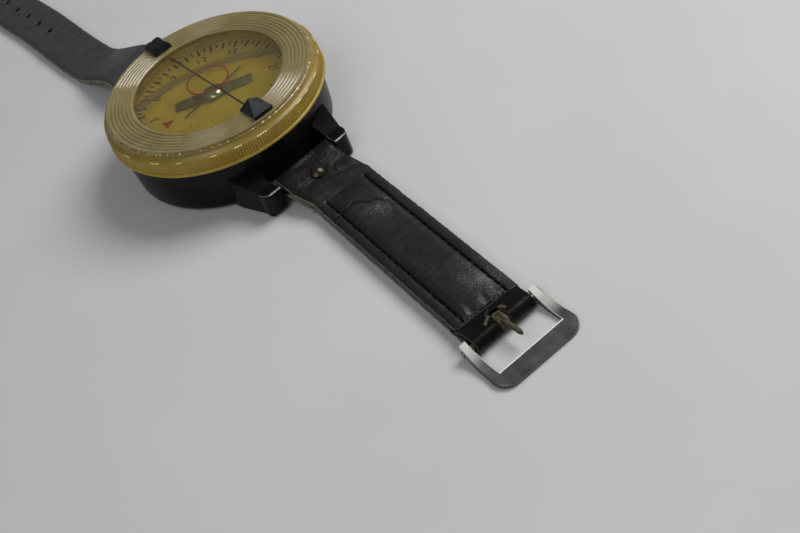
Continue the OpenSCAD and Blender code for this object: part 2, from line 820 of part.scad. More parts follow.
case_body();
front_lug_bar();
rear_lug_bar();
capsule_bowl();
dial_plate();
pivot_post();
window_gasket();
capsule_window();
lock_ring();
bezel_spring();
bezel_cap();
front_sight();
rear_sight();
needle_bar();
needle_hub();
pivot_jewel();
short_strap_leather();
short_strap_filler();
short_strap_lining();
short_strap_rivet();
buckle_loop();
buckle_bar();
buckle_frame();
buckle_prong();
long_strap_leather();
long_strap_lining();
long_strap_rivet();
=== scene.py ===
"""Wrist compass: looks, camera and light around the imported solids."""

import math

import bmesh
import bpy
from mathutils import Matrix, Vector, noise


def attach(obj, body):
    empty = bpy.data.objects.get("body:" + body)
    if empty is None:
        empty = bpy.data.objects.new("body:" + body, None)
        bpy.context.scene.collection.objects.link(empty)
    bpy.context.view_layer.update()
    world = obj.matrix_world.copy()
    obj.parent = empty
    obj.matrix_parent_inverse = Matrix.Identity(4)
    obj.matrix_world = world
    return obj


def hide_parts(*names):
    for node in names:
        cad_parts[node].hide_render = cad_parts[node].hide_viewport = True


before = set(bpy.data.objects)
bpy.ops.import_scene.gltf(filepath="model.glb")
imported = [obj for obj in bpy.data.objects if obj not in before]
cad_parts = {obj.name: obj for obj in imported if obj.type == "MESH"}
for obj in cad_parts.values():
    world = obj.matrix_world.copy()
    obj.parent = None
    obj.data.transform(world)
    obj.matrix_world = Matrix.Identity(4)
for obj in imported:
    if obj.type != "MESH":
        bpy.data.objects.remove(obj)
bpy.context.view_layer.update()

# Lengths of pieces are written in millimetres and scaled once, when a piece is finished
MM = 0.001
TAU = 2 * math.pi

# Sizes shared with the solids
CASE_R, BASE_R, CASE_H, CASE_ROUND = 29.2, 28.5, 14.4, 2.4
CAVITY_R, CASE_FLOOR = 26.0, 2.6
LUG_IN, LUG_OUT, LUG_NOSE, LUG_TOP = 9.6, 14.4, 36.5, 7.4
BAR_X, BAR_Z = 33.5, 4.7
DIAL_R, DIAL_Z, DIAL_TOP = 23.4, 10.6, 11.4
TOP_R, TOP_Z, PLATE_Z = 28.5, 21.5, 19.3
SKIRT_R, SKIRT_IN, SKIRT_Z, SHOULDER_Z = 30.4, 27.2, 14.7, 19.1
TEETH, TOOTH = 240, 0.3
BEZEL_TURN, NEEDLE_TURN = math.radians(-2.5), math.radians(63.5)
STRAP_HALF, LEATHER, FILLER = 8.7, 1.4, 1.0
LOOP_IN, STITCH_IN = 1.2, 2.7
SHORT_LEN, SHORT_FALL, SHORT_SET, BEND_AT, STRAIGHT = 74.5, 16.5, math.radians(-8), 13.0, 5.5
TOP_END, SHORT_Y = 74.4, 0.3
LONG_LEN, LONG_FALL, CREST_AT, CREST_RISE = 132.0, 40.0, 15.0, 2.6
FOLD_END, RIVET_AT = 10.5, 5.2
PIN_AT, BUCKLE_SET = Vector((111.4616, -7.5298, 2.2)), math.radians(-4)
WELL_R, CUP_R, CUP_TOP = 23.45, 25.95, 16.0
SEAL_IN, SEAL_R, SEAL_TOP = 24.3, 25.9, 16.5
GLASS_TOP, RING_R = 18.5, 26.9
SPRING_R, SPRING_LOW, SPRING_HIGH = 27.875, 16.25, 17.75
BLADE_LOW, BLADE_TOP = 12.0, 12.6
LINING_FROM, FILLER_END = 10.8, 67.7
HOLES, HOLE_R, FIRST_HOLE, HOLE_STEP = 6, 1.2, 69, 8

# Sizes that only the looks have
WINDOW_R, LIP_R, WINDOW_TOP = 20.9, 21.85, TOP_Z - 0.5
SHOULDER_R = SKIRT_R - TOOTH - 0.2
SEAM_AT = 73.0
ROUND_STEPS = 192
PLASTIC_IOR = 1.46
WELD = 0.0005
LUG_RISE = 0.264
# A crease round a place on the plan, drawn as a bump with painted shade in it: x, y, radius and half width
CREASE = (62.5, -5.3, 8.3, 0.8)
# Scuffed spots on the plan, with painted sheen and glints on them; the third, on the loop over the bar, is only a
# painted highlight: x, y, radius that is fully scuffed, radius where it ends, and stretch
SCUFFS_AND_SHEEN = ((62.0, 1.2, 0.5, 8.5, (0.8, 1.3)),
          (99.0, -1.4, 0.5, 8.5, (0.75, 1.3)),
          (33.6, -0.6, 1.0, 3.2, (2.0, 0.45)))


def ease(t):
    """A soft step from 0 to 1."""
    c = min(1.0, max(0.0, t))
    return c * c * (3 - 2 * c)


def mix(a, b, t):
    """A value on the way between two others."""
    return a + (b - a) * t


# Finishes


def new_finish(name, sockets):
    """A Principled finish with its constant values set on its own sockets."""
    mat = bpy.data.materials.new(name)
    mat.use_nodes = True
    shader = mat.node_tree.nodes["Principled BSDF"]
    for key, value in sockets.items():
        shader.inputs[key].default_value = value
    return mat


def object_place(mat):
    """The piece's own coordinates."""
    node = mat.node_tree.nodes.get("place") or mat.node_tree.nodes.new("ShaderNodeTexCoord")
    node.name = "place"
    return node.outputs["Object"]


def pattern(mat, kind, size, stretch=(1, 1, 1)):
    """A pattern on the piece's own coordinates, with features of a size in millimetres."""
    tree = mat.node_tree
    node = tree.nodes.new(kind)
    node.inputs["Scale"].default_value = 1 / (size * MM)
    place = tree.nodes.new("ShaderNodeMapping")
    place.inputs["Scale"].default_value = stretch
    tree.links.new(object_place(mat), place.inputs["Vector"])
    tree.links.new(place.outputs["Vector"], node.inputs["Vector"])
    return node


def mottle(mat, size, detail=3.0, stretch=(1, 1, 1), rough=0.5):
    """Cloudy noise."""
    node = pattern(mat, "ShaderNodeTexNoise", size, stretch)
    node.inputs["Detail"].default_value = detail
    node.inputs["Roughness"].default_value = rough
    return node.outputs["Fac"]


def pebble(mat, size):
    """Cells, as in leather grain."""
    return pattern(mat, "ShaderNodeTexVoronoi", size).outputs["Distance"]


def grade(mat, value, low, high, out_low=0.0, out_high=1.0):
    """Stretch a range of a pattern to another range."""
    tree = mat.node_tree
    node = tree.nodes.new("ShaderNodeMapRange")
    for key, number in (("From Min", low), ("From Max", high), ("To Min", out_low), ("To Max", out_high)):
        node.inputs[key].default_value = number
    tree.links.new(value, node.inputs["Value"])
    return node.outputs["Result"]


def combine(mat, kind, a, b):
    """Join two patterns, or a pattern and a number."""
    tree = mat.node_tree
    node = tree.nodes.new("ShaderNodeMath")
    node.operation = kind
    for socket, value in zip(node.inputs, (a, b)):
        if isinstance(value, (int, float)):
            socket.default_value = value
        else:
            tree.links.new(value, socket)
    return node.outputs["Value"]


def tint(mat, value, stops):
    """Colours laid out over a pattern."""
    tree = mat.node_tree
    node = tree.nodes.new("ShaderNodeValToRGB")
    ramp = node.color_ramp
    while len(ramp.elements) < len(stops):
        ramp.elements.new(0.5)
    for element, (at, colour) in zip(ramp.elements, stops):
        element.position = at
        element.color = (*colour, 1)
    tree.links.new(value, node.inputs["Fac"])
    return node.outputs["Color"]


def layer(mat, share, under, over):
    """One colour over another by a pattern."""
    colour_a, colour_b, colour_out = 6, 7, 2
    tree = mat.node_tree
    node = tree.nodes.new("ShaderNodeMix")
    node.data_type = "RGBA"
    tree.links.new(share, node.inputs["Factor"])
    for key, value in ((colour_a, under), (colour_b, over)):
        if isinstance(value, tuple):
            node.inputs[key].default_value = (*value, 1)
        else:
            tree.links.new(value, node.inputs[key])
    return node.outputs[colour_out]


def use(mat, key, value):
    """Feed a pattern to the finish."""
    mat.node_tree.links.new(value, mat.node_tree.nodes["Principled BSDF"].inputs[key])


def relief(mat, height, depth, strength=1.0):
    """Raise a pattern by a depth in millimetres."""
    tree = mat.node_tree
    node = tree.nodes.new("ShaderNodeBump")
    node.inputs["Strength"].default_value = strength
    node.inputs["Distance"].default_value = depth * MM
    tree.links.new(height, node.inputs["Height"])
    use(mat, "Normal", node.outputs["Normal"])


def distance_from(mat, x, y, stretch=(1, 1)):
    """How far a spot lies from a place on the plan, in metres."""
    tree = mat.node_tree
    spot = object_place(mat)
    for kind, by in (("SUBTRACT", (x * MM, y * MM, 0)), ("MULTIPLY", (*stretch, 0)), ("LENGTH", (0, 0, 0))):
        node = tree.nodes.new("ShaderNodeVectorMath")
        node.operation = kind
        node.inputs[1].default_value = by
        tree.links.new(spot, node.inputs[0])
        spot = node.outputs["Value" if kind == "LENGTH" else "Vector"]
    return spot


def axis_share(mat, axis, low, high):
    """Share of the way between two places along an axis."""
    node = mat.node_tree.nodes.new("ShaderNodeSeparateXYZ")
    mat.node_tree.links.new(object_place(mat), node.inputs["Vector"])
    return grade(mat, node.outputs[axis], low * MM, high * MM)


def case_finish():
    """Black moulded plastic with a dull, dusty gloss."""
    mat = new_finish("black_moulded_plastic", {"Specular IOR Level": 0.16})
    cloud = mottle(mat, 9.0, 4.0)
    dust = mottle(mat, 0.5, 5.0)
    use(mat, "Base Color", tint(mat, cloud, [(0.3, (0.002, 0.002, 0.0025)), (0.7, (0.005, 0.005, 0.0055))]))
    use(mat, "Roughness", grade(mat, combine(mat, "ADD", cloud, dust), 0.7, 1.3, 0.20, 0.36))
    relief(mat, dust, 0.012, 0.4)
    return mat


def sight_finish(name, dark, light):
    """Glossy plastic with smears."""
    mat = new_finish(name, {"Specular IOR Level": 0.4})
    smear = mottle(mat, 2.6, 3.0)
    use(mat, "Base Color", tint(mat, smear, [(0.3, dark), (0.8, light)]))
    use(mat, "Roughness", grade(mat, smear, 0.3, 0.7, 0.14, 0.26))
    return mat


def bezel_finish():
    """Milky yellowed plastic: paler on top, darker on the shoulder, deep amber down the skirt."""
    shoulder_from, shoulder_full, top_from, top_full = 18.4, 19.2, 20.4, 20.9
    mat = new_finish("yellowed_bezel_rim", {"Transmission Weight": 0.5, "IOR": PLASTIC_IOR})
    haze = mottle(mat, 5.0, 4.0)
    fine = mottle(mat, 0.6, 3.0)
    top = tint(mat, haze, [(0.3, (0.43, 0.355, 0.165)), (0.75, (0.34, 0.275, 0.11))])
    skirt = tint(mat, haze, [(0.3, (0.68, 0.49, 0.08)), (0.75, (0.55, 0.38, 0.047))])
    shoulder = combine(mat, "MULTIPLY", axis_share(mat, "Z", shoulder_from, shoulder_full), 0.55)
    skirt = layer(mat, shoulder, skirt, (0.22, 0.165, 0.035))
    share = axis_share(mat, "Z", top_from, top_full)
    use(mat, "Base Color", layer(mat, share, skirt, top))
    use(mat, "Roughness", combine(mat, "ADD", grade(mat, share, 0.0, 1.0, 0.26, 0.06),
                                  grade(mat, combine(mat, "ADD", haze, fine), 0.7, 1.3, 0.0, 0.12)))
    relief(mat, fine, 0.004, 0.3)
    return mat


def clear_finish(name, colour, low, high, size):
    """Aged clear plastic with fine haze."""
    mat = new_finish(name, {"Transmission Weight": 1.0, "IOR": PLASTIC_IOR, "Specular IOR Level": 0.3})
    haze = mottle(mat, size, 4.0)
    deep = tuple(c * 0.9 for c in colour)
    use(mat, "Base Color", tint(mat, haze, [(0.3, colour), (0.8, deep)]))
    use(mat, "Roughness", grade(mat, haze, 0.35, 0.7, low, high))
    return mat


def film_finish(name, light, dark, cover):
    """A faint see-through skin, pale as painted light."""
    mat = new_finish(name, {"Alpha": cover, "Roughness": 0.25})
    use(mat, "Base Color", tint(mat, mottle(mat, 6.0, 4.0), [(0.3, dark), (0.7, light)]))
    return mat


def plain_finish(name, light, dark, size, low, high, depth=0.01, metal=0.0, shine=0.5):
    """A two-tone mottled finish with a fine surface."""
    mat = new_finish(name, {"Metallic": metal, "Specular IOR Level": shine})
    cloud = mottle(mat, size, 5.0)
    fine = mottle(mat, size * 0.15, 3.0)
    both = combine(mat, "ADD", combine(mat, "MULTIPLY", cloud, 0.7), combine(mat, "MULTIPLY", fine, 0.3))
    use(mat, "Base Color", tint(mat, both, [(0.32, dark), (0.62, light)]))
    use(mat, "Roughness", grade(mat, cloud, 0.3, 0.7, low, high))
    relief(mat, fine, depth, 0.6)
    return mat


def strap_groove(mat):
    """Share of the sewing grooves, where shade is painted, from the place along and across the strap that its
    points carry.
    """
    sewn_from, sewn_full = 0.335, 0.342
    shares = []
    for key in ("along", "across"):
        node = mat.node_tree.nodes.new("ShaderNodeAttribute")
        node.attribute_name = key
        shares.append(node.outputs["Fac"])
    along, across = shares
    off = combine(mat, "SUBTRACT", combine(mat, "ABSOLUTE", across, 0.0), 1 - STITCH_IN / STRAP_HALF)
    line = grade(mat, combine(mat, "ABSOLUTE", off, 0.0), 0.03, 0.06, 1.0, 0.0)
    return combine(mat, "MULTIPLY", line, grade(mat, along, sewn_from, sewn_full))


def crease_line(mat, x, y, radius, half):
    """A wandering curved crease round a place, fading away from the case."""
    wander = grade(mat, mottle(mat, 5.0), 0.3, 0.7, -MM, MM)
    away = combine(mat, "ADD", distance_from(mat, x, y), wander)
    rising = grade(mat, away, (radius - half) * MM, radius * MM)
    falling = grade(mat, away, radius * MM, (radius + half) * MM, 1.0, 0.0)
    line = combine(mat, "MINIMUM", rising, falling)
    return combine(mat, "MULTIPLY", line, axis_share(mat, "X", x + 9, x - 1))


def leather_finish(name, dark, light, wear_and_glint, gloss, scuffs_and_sheen=(), sewn=False, shine=0.24):
    """Leather, wrinkled across, with fine grain scuffed pale and painted with sheen and glints at some places of
    the plan; sewn leather also gets painted shade near the lug, in its sewing grooves and along a crease.
    """
    mat = new_finish(name, {"Specular IOR Level": shine})
    cells = pebble(mat, 0.30)
    patch = mottle(mat, 9.0, 4.0)
    wrinkle = mottle(mat, 1.5, 5.0, (1.5, 0.4, 1.0), 0.65)
    fine = mottle(mat, 0.42, 5.0, rough=0.7)
    grain = grade(mat, patch, 0.50, 0.72, 0.0, 0.3)
    # Scuffed spots raise the scuffed grain and the painted sheen; the spot on the loop is a painted highlight
    for x, y, inner, outer, stretch in scuffs_and_sheen:
        spot = grade(mat, distance_from(mat, x, y, stretch), inner * MM, outer * MM, 1.0, 0.0)
        broken = combine(mat, "MULTIPLY", spot, grade(mat, patch, 0.3, 0.5, 0.5, 1.0))
        grain = combine(mat, "MAXIMUM", grain, broken)
    # Pale flecks: scuffed grain with painted glints on it
    flecks = grade(mat, combine(mat, "ADD", fine, combine(mat, "MULTIPLY", grain, 0.26)), 0.66, 0.92)
    plain = tint(mat, wrinkle, [(0.3, dark), (0.75, light)])
    # Painted sheen: a lighter grey over the scuffed and patchy places
    soft = layer(mat, combine(mat, "MULTIPLY", grain, 0.3), plain, (0.06, 0.06, 0.058))
    base = layer(mat, flecks, soft, wear_and_glint)
    rough = grade(mat, combine(mat, "ADD", patch, wrinkle), 0.75, 1.3, gloss + 0.16, gloss)
    bumps = combine(mat, "MULTIPLY", combine(mat, "SUBTRACT", fine, cells), combine(mat, "ADD", grain, 0.22))
    if sewn:
        # Painted shade: the colour darkens towards the lug
        lug_end, lug_full = 48.0, 41.0
        lug_shade = axis_share(mat, "X", lug_end, lug_full)
        base = layer(mat, combine(mat, "MULTIPLY", lug_shade, 0.6), base, (0.003, 0.003, 0.003))
        crease = crease_line(mat, *CREASE)
        # Painted shade: the sewing grooves and the crease are darkened
        base = layer(mat, combine(mat, "MAXIMUM", strap_groove(mat), crease), base, (0.001, 0.001, 0.001))
        bumps = combine(mat, "SUBTRACT", bumps, combine(mat, "MULTIPLY", crease, 1.5))
        rough = combine(mat, "SUBTRACT", rough, combine(mat, "MULTIPLY", lug_shade, 0.18))
    use(mat, "Base Color", base)
    use(mat, "Roughness", rough)
    relief(mat, combine(mat, "ADD", bumps, combine(mat, "MULTIPLY", wrinkle, 0.8)), 0.14, 0.6)
    return mat


def raw_edge_finish(name, light, dark, soot):
    """Fuzzy cut edge of leather, dirtier towards the buckle."""
    mat = new_finish(name, {"Roughness": 0.95, "Specular IOR Level": 0.2, "Sheen Weight": 0.15})
    fibre = mottle(mat, 0.35, 6.0, (1.0, 1.0, 3.0), 0.7)
    stain = mottle(mat, 3.0, 4.0)
    base = tint(mat, fibre, [(0.3, dark), (0.68, light)])
    dirt_from, dirt_full = 44.0, 64.0
    handled = combine(mat, "MULTIPLY", axis_share(mat, "X", dirt_from, dirt_full), 0.7)
    dirt = combine(mat, "MAXIMUM", handled, grade(mat, stain, 0.28, 0.78))
    use(mat, "Base Color", layer(mat, dirt, base, soot))
    relief(mat, fibre, 0.25, 0.9)
    return mat


def buckle_finish():
    """Dull nickel, with a painted highlight growing towards the raised ends of the legs."""
    mat = new_finish("nickel_plate_painted_tip_highlight", {"Metallic": 0.85})
    cloud = mottle(mat, 5.0, 5.0)
    scratch = mottle(mat, 0.7, 6.0, (6.0, 0.5, 1.0), 0.7)
    dull = tint(mat, cloud, [(0.3, (0.11, 0.108, 0.103)), (0.7, (0.19, 0.187, 0.18))])
    # Painted highlight: paler towards the leg ends, where they rise and catch the light
    glint_from, glint_full = 114.5, 110.0
    use(mat, "Base Color", layer(mat, axis_share(mat, "X", glint_from, glint_full), dull, (0.55, 0.545, 0.53)))
    use(mat, "Roughness", grade(mat, combine(mat, "ADD", cloud, scratch), 0.7, 1.3, 0.24, 0.38))
    relief(mat, scratch, 0.012, 0.4)
    return mat


def corroded_finish():
    """Brown brass under patches of green crust."""
    mat = new_finish("corroded_brass", {})
    crust = mottle(mat, 1.1, 6.0, rough=0.7)
    fine = mottle(mat, 0.25, 4.0)
    share = grade(mat, crust, 0.42, 0.58)
    metal = tint(mat, fine, [(0.3, (0.055, 0.033, 0.02)), (0.7, (0.14, 0.09, 0.056))])
    green = tint(mat, fine, [(0.3, (0.02, 0.022, 0.009)), (0.7, (0.085, 0.09, 0.04))])
    use(mat, "Base Color", layer(mat, share, metal, green))
    use(mat, "Metallic", grade(mat, crust, 0.42, 0.58, 0.7, 0.0))
    use(mat, "Roughness", grade(mat, crust, 0.4, 0.6, 0.4, 0.9))
    relief(mat, crust, 0.3, 0.8)
    return mat


def dial_finish():
    """Yellowed card with brown specks."""
    mat = new_finish("aged_dial_card", {"Roughness": 0.55})
    cloud = mottle(mat, 14.0, 3.0)
    speck = mottle(mat, 1.2, 4.0)
    yellows = [(0.3, (0.91, 0.68, 0.05)), (0.5, (0.95, 0.75, 0.08)), (0.72, (0.97, 0.64, 0.03))]
    base = tint(mat, cloud, yellows)
    use(mat, "Base Color", layer(mat, grade(mat, speck, 0.6, 0.75, 0.0, 0.5), base, (0.40, 0.30, 0.10)))
    relief(mat, speck, 0.02, 0.4)
    return mat


case_black = case_finish()
# Pale finish for the lug noses: a painted highlight where their glossy edges catch the light
case_nose_glint = plain_finish("plastic_edge_painted_highlight", (0.56, 0.56, 0.545), (0.03, 0.03, 0.03), 2.0, 0.18, 0.3)
sight_black = sight_finish("black_glossy_sight", (0.002, 0.002, 0.003), (0.006, 0.006, 0.008))
# Lighter copy of the black sight plastic: a painted reflection for the sight's outer face
sight_sheen = sight_finish("sight_face_painted_sheen", (0.034, 0.034, 0.044), (0.048, 0.048, 0.060))
bezel_amber = bezel_finish()
# Pale flecks: painted glints in the groove under the top edge and a painted highlight line along the shoulder's
# edge
bezel_glint = plain_finish("bezel_edge_painted_glints", (0.82, 0.70, 0.36), (0.50, 0.38, 0.10), 0.7, 0.15, 0.35)
window_clear = clear_finish("yellowed_clear_window", (1.0, 0.975, 0.76), 0.0, 0.02, 6.0)
# Pale skin of the bubble's edge: painted sheen in place of the light a clear meniscus bends and reflects
bubble_sheen_film = film_finish("bubble_edge_painted_sheen", (0.62, 0.61, 0.49), (0.50, 0.495, 0.39), 0.32)
# Painted highlight lines at the foot and top of the bubble's edge
bubble_glint_line = film_finish("bubble_edge_painted_highlight", (0.92, 0.90, 0.78), (0.72, 0.70, 0.58), 0.45)
dial_cream = dial_finish()
print_black = plain_finish("dial_print_black", (0.035, 0.03, 0.02), (0.012, 0.01, 0.008), 1.0, 0.5, 0.7)
print_red = plain_finish("dial_print_red", (0.80, 0.11, 0.03), (0.60, 0.07, 0.02), 1.0, 0.5, 0.7)
line_red = plain_finish("bezel_ring_red", (0.24, 0.012, 0.014), (0.16, 0.008, 0.010), 1.0, 0.4, 0.6)
needle_grey = plain_finish("dull_needle_steel", (0.30, 0.275, 0.17), (0.17, 0.155, 0.095), 2.5, 0.35, 0.55,
                           0.02, 0.3)
hub_metal = plain_finish("domed_grey_hub", (0.62, 0.63, 0.60), (0.45, 0.46, 0.43), 1.6, 0.12, 0.2, 0.005, 0.75)
# Capsule plastic and seal rubber are painted paler than their own yellow: painted light standing in for what
# reaches them through the bezel
capsule_yellow_brightened = plain_finish("aged_capsule_plastic_painted_light", (0.97, 0.84, 0.34), (0.90, 0.72, 0.22), 3.0, 0.4, 0.55)
seal_yellow_brightened = plain_finish("yellowed_rubber_painted_light", (0.80, 0.64, 0.24), (0.62, 0.46, 0.14), 1.5, 0.7, 0.9)
jewel_red = plain_finish("ruby_jewel", (0.45, 0.03, 0.06), (0.30, 0.015, 0.03), 0.6, 0.08, 0.16)
bar_steel = plain_finish("dull_bar_steel", (0.24, 0.235, 0.225), (0.13, 0.125, 0.115), 1.5, 0.3, 0.5, 0.02, 0.9)
post_brass = plain_finish("turned_brass_post", (0.65, 0.46, 0.18), (0.45, 0.30, 0.11), 1.0, 0.25, 0.4, 0.01, 0.9)
rivet_brass = plain_finish("browned_brass_rivet", (0.045, 0.030, 0.019), (0.013, 0.010, 0.007), 1.1, 0.16, 0.32,
                           0.03, 0.5)
buckle_nickel = buckle_finish()
# Painted highlight for the inner edges of the buckle's window
buckle_edge_glint = plain_finish("nickel_edge_painted_highlight", (0.88, 0.87, 0.85), (0.70, 0.69, 0.67), 1.2, 0.3, 0.45,
                             0.01, 0.15)
prong_brass = corroded_finish()
leather_black = leather_finish("cracked_black_leather", (0.007, 0.007, 0.007), (0.019, 0.019, 0.019),
                               (0.24, 0.24, 0.233), 0.30, SCUFFS_AND_SHEEN, True)
leather_smooth = leather_finish("smooth_black_leather", (0.0015, 0.0015, 0.0015), (0.004, 0.004, 0.004),
                                (0.02, 0.02, 0.019), 0.22, shine=0.12)
leather_long = leather_finish("dull_black_leather", (0.026, 0.026, 0.026), (0.052, 0.052, 0.052),
                              (0.09, 0.09, 0.088), 0.34)
leather_brown = leather_finish("brown_lining_leather", (0.045, 0.030, 0.018), (0.10, 0.070, 0.042),
                               (0.20, 0.16, 0.11), 0.5)
edge_tan = raw_edge_finish("raw_tan_edge", (0.36, 0.31, 0.21), (0.12, 0.10, 0.066), (0.05, 0.045, 0.033))
edge_dark = raw_edge_finish("sooty_leather_edge", (0.060, 0.055, 0.048), (0.022, 0.020, 0.017),
                            (0.014, 0.013, 0.012))
thread_pale = plain_finish("bared_pale_thread", (0.09, 0.088, 0.082), (0.02, 0.02, 0.019), 0.4, 0.6, 0.8, 0.05)
thread_black = plain_finish("waxed_black_thread", (0.004, 0.004, 0.004), (0.0015, 0.0015, 0.0015), 0.4, 0.8, 0.95,
                            0.05, 0.0, 0.03)


# Making of meshes


def turned(outline, steps, closed=True):
    """A shape turned on the upright axis from an outline of (radius, height) points."""
    bm = bmesh.new()
    points = [bm.verts.new((r, 0, z)) for r, z in outline]
    pairs = list(zip(points, points[1:]))
    if closed:
        pairs.append((points[-1], points[0]))
    edges = [bm.edges.new(pair) for pair in pairs]
    bmesh.ops.spin(bm, geom=points + edges, axis=(0, 0, 1), cent=(0, 0, 0), angle=TAU, steps=steps,
                   use_merge=True)
    bmesh.ops.remove_doubles(bm, verts=bm.verts, dist=WELD)
    return bm


def slab(points, low, high):
    """A flat outline drawn up between two heights."""
    bm = bmesh.new()
    face = bm.faces.new([bm.verts.new((x, y, low)) for x, y in points])
    grown = bmesh.ops.extrude_face_region(bm, geom=[face])
    raised = [v for v in grown["geom"] if isinstance(v, bmesh.types.BMVert)]
    bmesh.ops.translate(bm, verts=raised, vec=(0, 0, high - low))
    bmesh.ops.recalc_face_normals(bm, faces=bm.faces)
    return bm


def soften(bm, width, segments=3, sharpest=30):
    """Round every edge that turns by more than an angle."""
    limit = math.radians(sharpest)
    edges = [e for e in bm.edges if len(e.link_faces) == 2 and e.calc_face_angle() > limit]
    return bmesh.ops.bevel(bm, geom=edges, offset=width, offset_type="OFFSET", segments=segments, profile=0.5,
                           affect="EDGES", material=-1, clamp_overlap=True)["faces"]


def sheet(along, across, outer, inner):
    """A sheet with two faces, each placed by (share along, side from -1 to 1), and edges of a second finish."""
    bm = bmesh.new()
    bmesh.ops.create_grid(bm, x_segments=along, y_segments=across, size=1.0)
    run = bm.verts.layers.float.new("along")
    side = bm.verts.layers.float.new("across")
    for v in bm.verts:
        v[run] = (v.co.x + 1) / 2
        v[side] = v.co.y
    grown = bmesh.ops.extrude_face_region(bm, geom=bm.faces[:])
    under = {v for v in grown["geom"] if isinstance(v, bmesh.types.BMVert)}
    for face in bm.faces:
        below = sum(v in under for v in face.verts)
        face.material_index = 1 if 0 < below < len(face.verts) else 0
    for v in bm.verts:
        v.co = (inner if v in under else outer)(v[run], v[side])
    return bm


def join(parts):
    """Several meshes in one."""
    whole = bmesh.new()
    for part in parts:
        mesh = bpy.data.meshes.new("part")
        part.to_mesh(mesh)
        part.free()
        whole.from_mesh(mesh)
        bpy.data.meshes.remove(mesh)
    return whole


def moved(bm, matrix):
    """The same mesh, moved."""
    bmesh.ops.transform(bm, matrix=matrix, verts=bm.verts)
    return bm


def piece(name, bm, finishes, body, stands_for=(), crease=35, flat=None):
    """Scale a mesh to metres and make it a piece that rides on a body; faces over an area can stay flat."""
    bmesh.ops.remove_doubles(bm, verts=bm.verts, dist=WELD)
    bmesh.ops.recalc_face_normals(bm, faces=bm.faces)
    bmesh.ops.scale(bm, vec=(MM, MM, MM), verts=bm.verts)
    mesh = bpy.data.meshes.new(name)
    bm.to_mesh(mesh)
    bm.free()
    for mat in finishes:
        mesh.materials.append(mat)
    mesh.shade_smooth()
    mesh.set_sharp_from_angle(angle=math.radians(crease))
    for face in mesh.polygons:
        if flat and face.area > flat * MM * MM:
            face.use_smooth = False
    obj = bpy.data.objects.new(name, mesh)
    bpy.context.scene.collection.objects.link(obj)
    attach(obj, body)
    if stands_for:
        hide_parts(*stands_for)
    return obj


def punched(obj, bm):
    """Cut a second mesh out of a piece, with its finishes, and keep the result as its mesh."""
    bmesh.ops.scale(bm, vec=(MM, MM, MM), verts=bm.verts)
    bmesh.ops.recalc_face_normals(bm, faces=bm.faces)
    mesh = bpy.data.meshes.new("tool")
    for mat in obj.data.materials:
        mesh.materials.append(mat)
    bm.to_mesh(mesh)
    bm.free()
    mesh.shade_smooth()
    mesh.set_sharp_from_angle(angle=math.radians(40))
    tool = bpy.data.objects.new("tool", mesh)
    bpy.context.scene.collection.objects.link(tool)
    cut = obj.modifiers.new("punch", "BOOLEAN")
    cut.operation = "DIFFERENCE"
    cut.solver = "EXACT"
    cut.object = tool
    bpy.context.view_layer.update()
    result = bpy.data.meshes.new_from_object(obj.evaluated_get(bpy.context.evaluated_depsgraph_get()))
    obj.modifiers.remove(cut)
    old = obj.data
    result.name = old.name
    obj.data = result
    bpy.data.meshes.remove(old)
    bpy.data.objects.remove(tool)
    bpy.data.meshes.remove(mesh)


def dress(node, mat):
    """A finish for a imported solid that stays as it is."""
    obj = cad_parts[node]
    for i in range(max(1, len(obj.material_slots))):
        if not obj.material_slots:
            obj.data.materials.append(mat)
        obj.material_slots[i].material = mat


# Case


def arc(cx, cz, r, start, end, cuts):
    """Points of an arc, with its angles in degrees."""
    turns = [math.radians(mix(start, end, i / cuts)) for i in range(cuts + 1)]
    return [(cx + r * math.cos(a), cz + r * math.sin(a)) for a in turns]


def case_cup():
    """The cup: rounded foot, sloping wall, rim and cavity."""
    rim = 0.35
    outline = [(0, 0)] + arc(BASE_R - CASE_ROUND, CASE_ROUND, CASE_ROUND, -90, 0, 8)
    outline += arc(CASE_R - rim, CASE_H - rim, rim, 0, 90, 4)
    outline += [(CAVITY_R, CASE_H), (CAVITY_R, CASE_FLOOR), (0, CASE_FLOOR)]
    return turned(outline, ROUND_STEPS, closed=False)


def lug_top(x):
    """Height of a lug's top: level over the bar, then rising to the case wall."""
    return LUG_TOP + LUG_RISE * max(0.0, BAR_X - 1 - x)


def crossed(bm, stations, way=Vector((1, 0, 0))):
    """Add edges across a mesh at stations along an axis."""
    for at in stations:
        bmesh.ops.bisect_plane(bm, geom=bm.verts[:] + bm.edges[:] + bm.faces[:], dist=0.001, plane_co=way * at,
                               plane_no=way)
    return bm


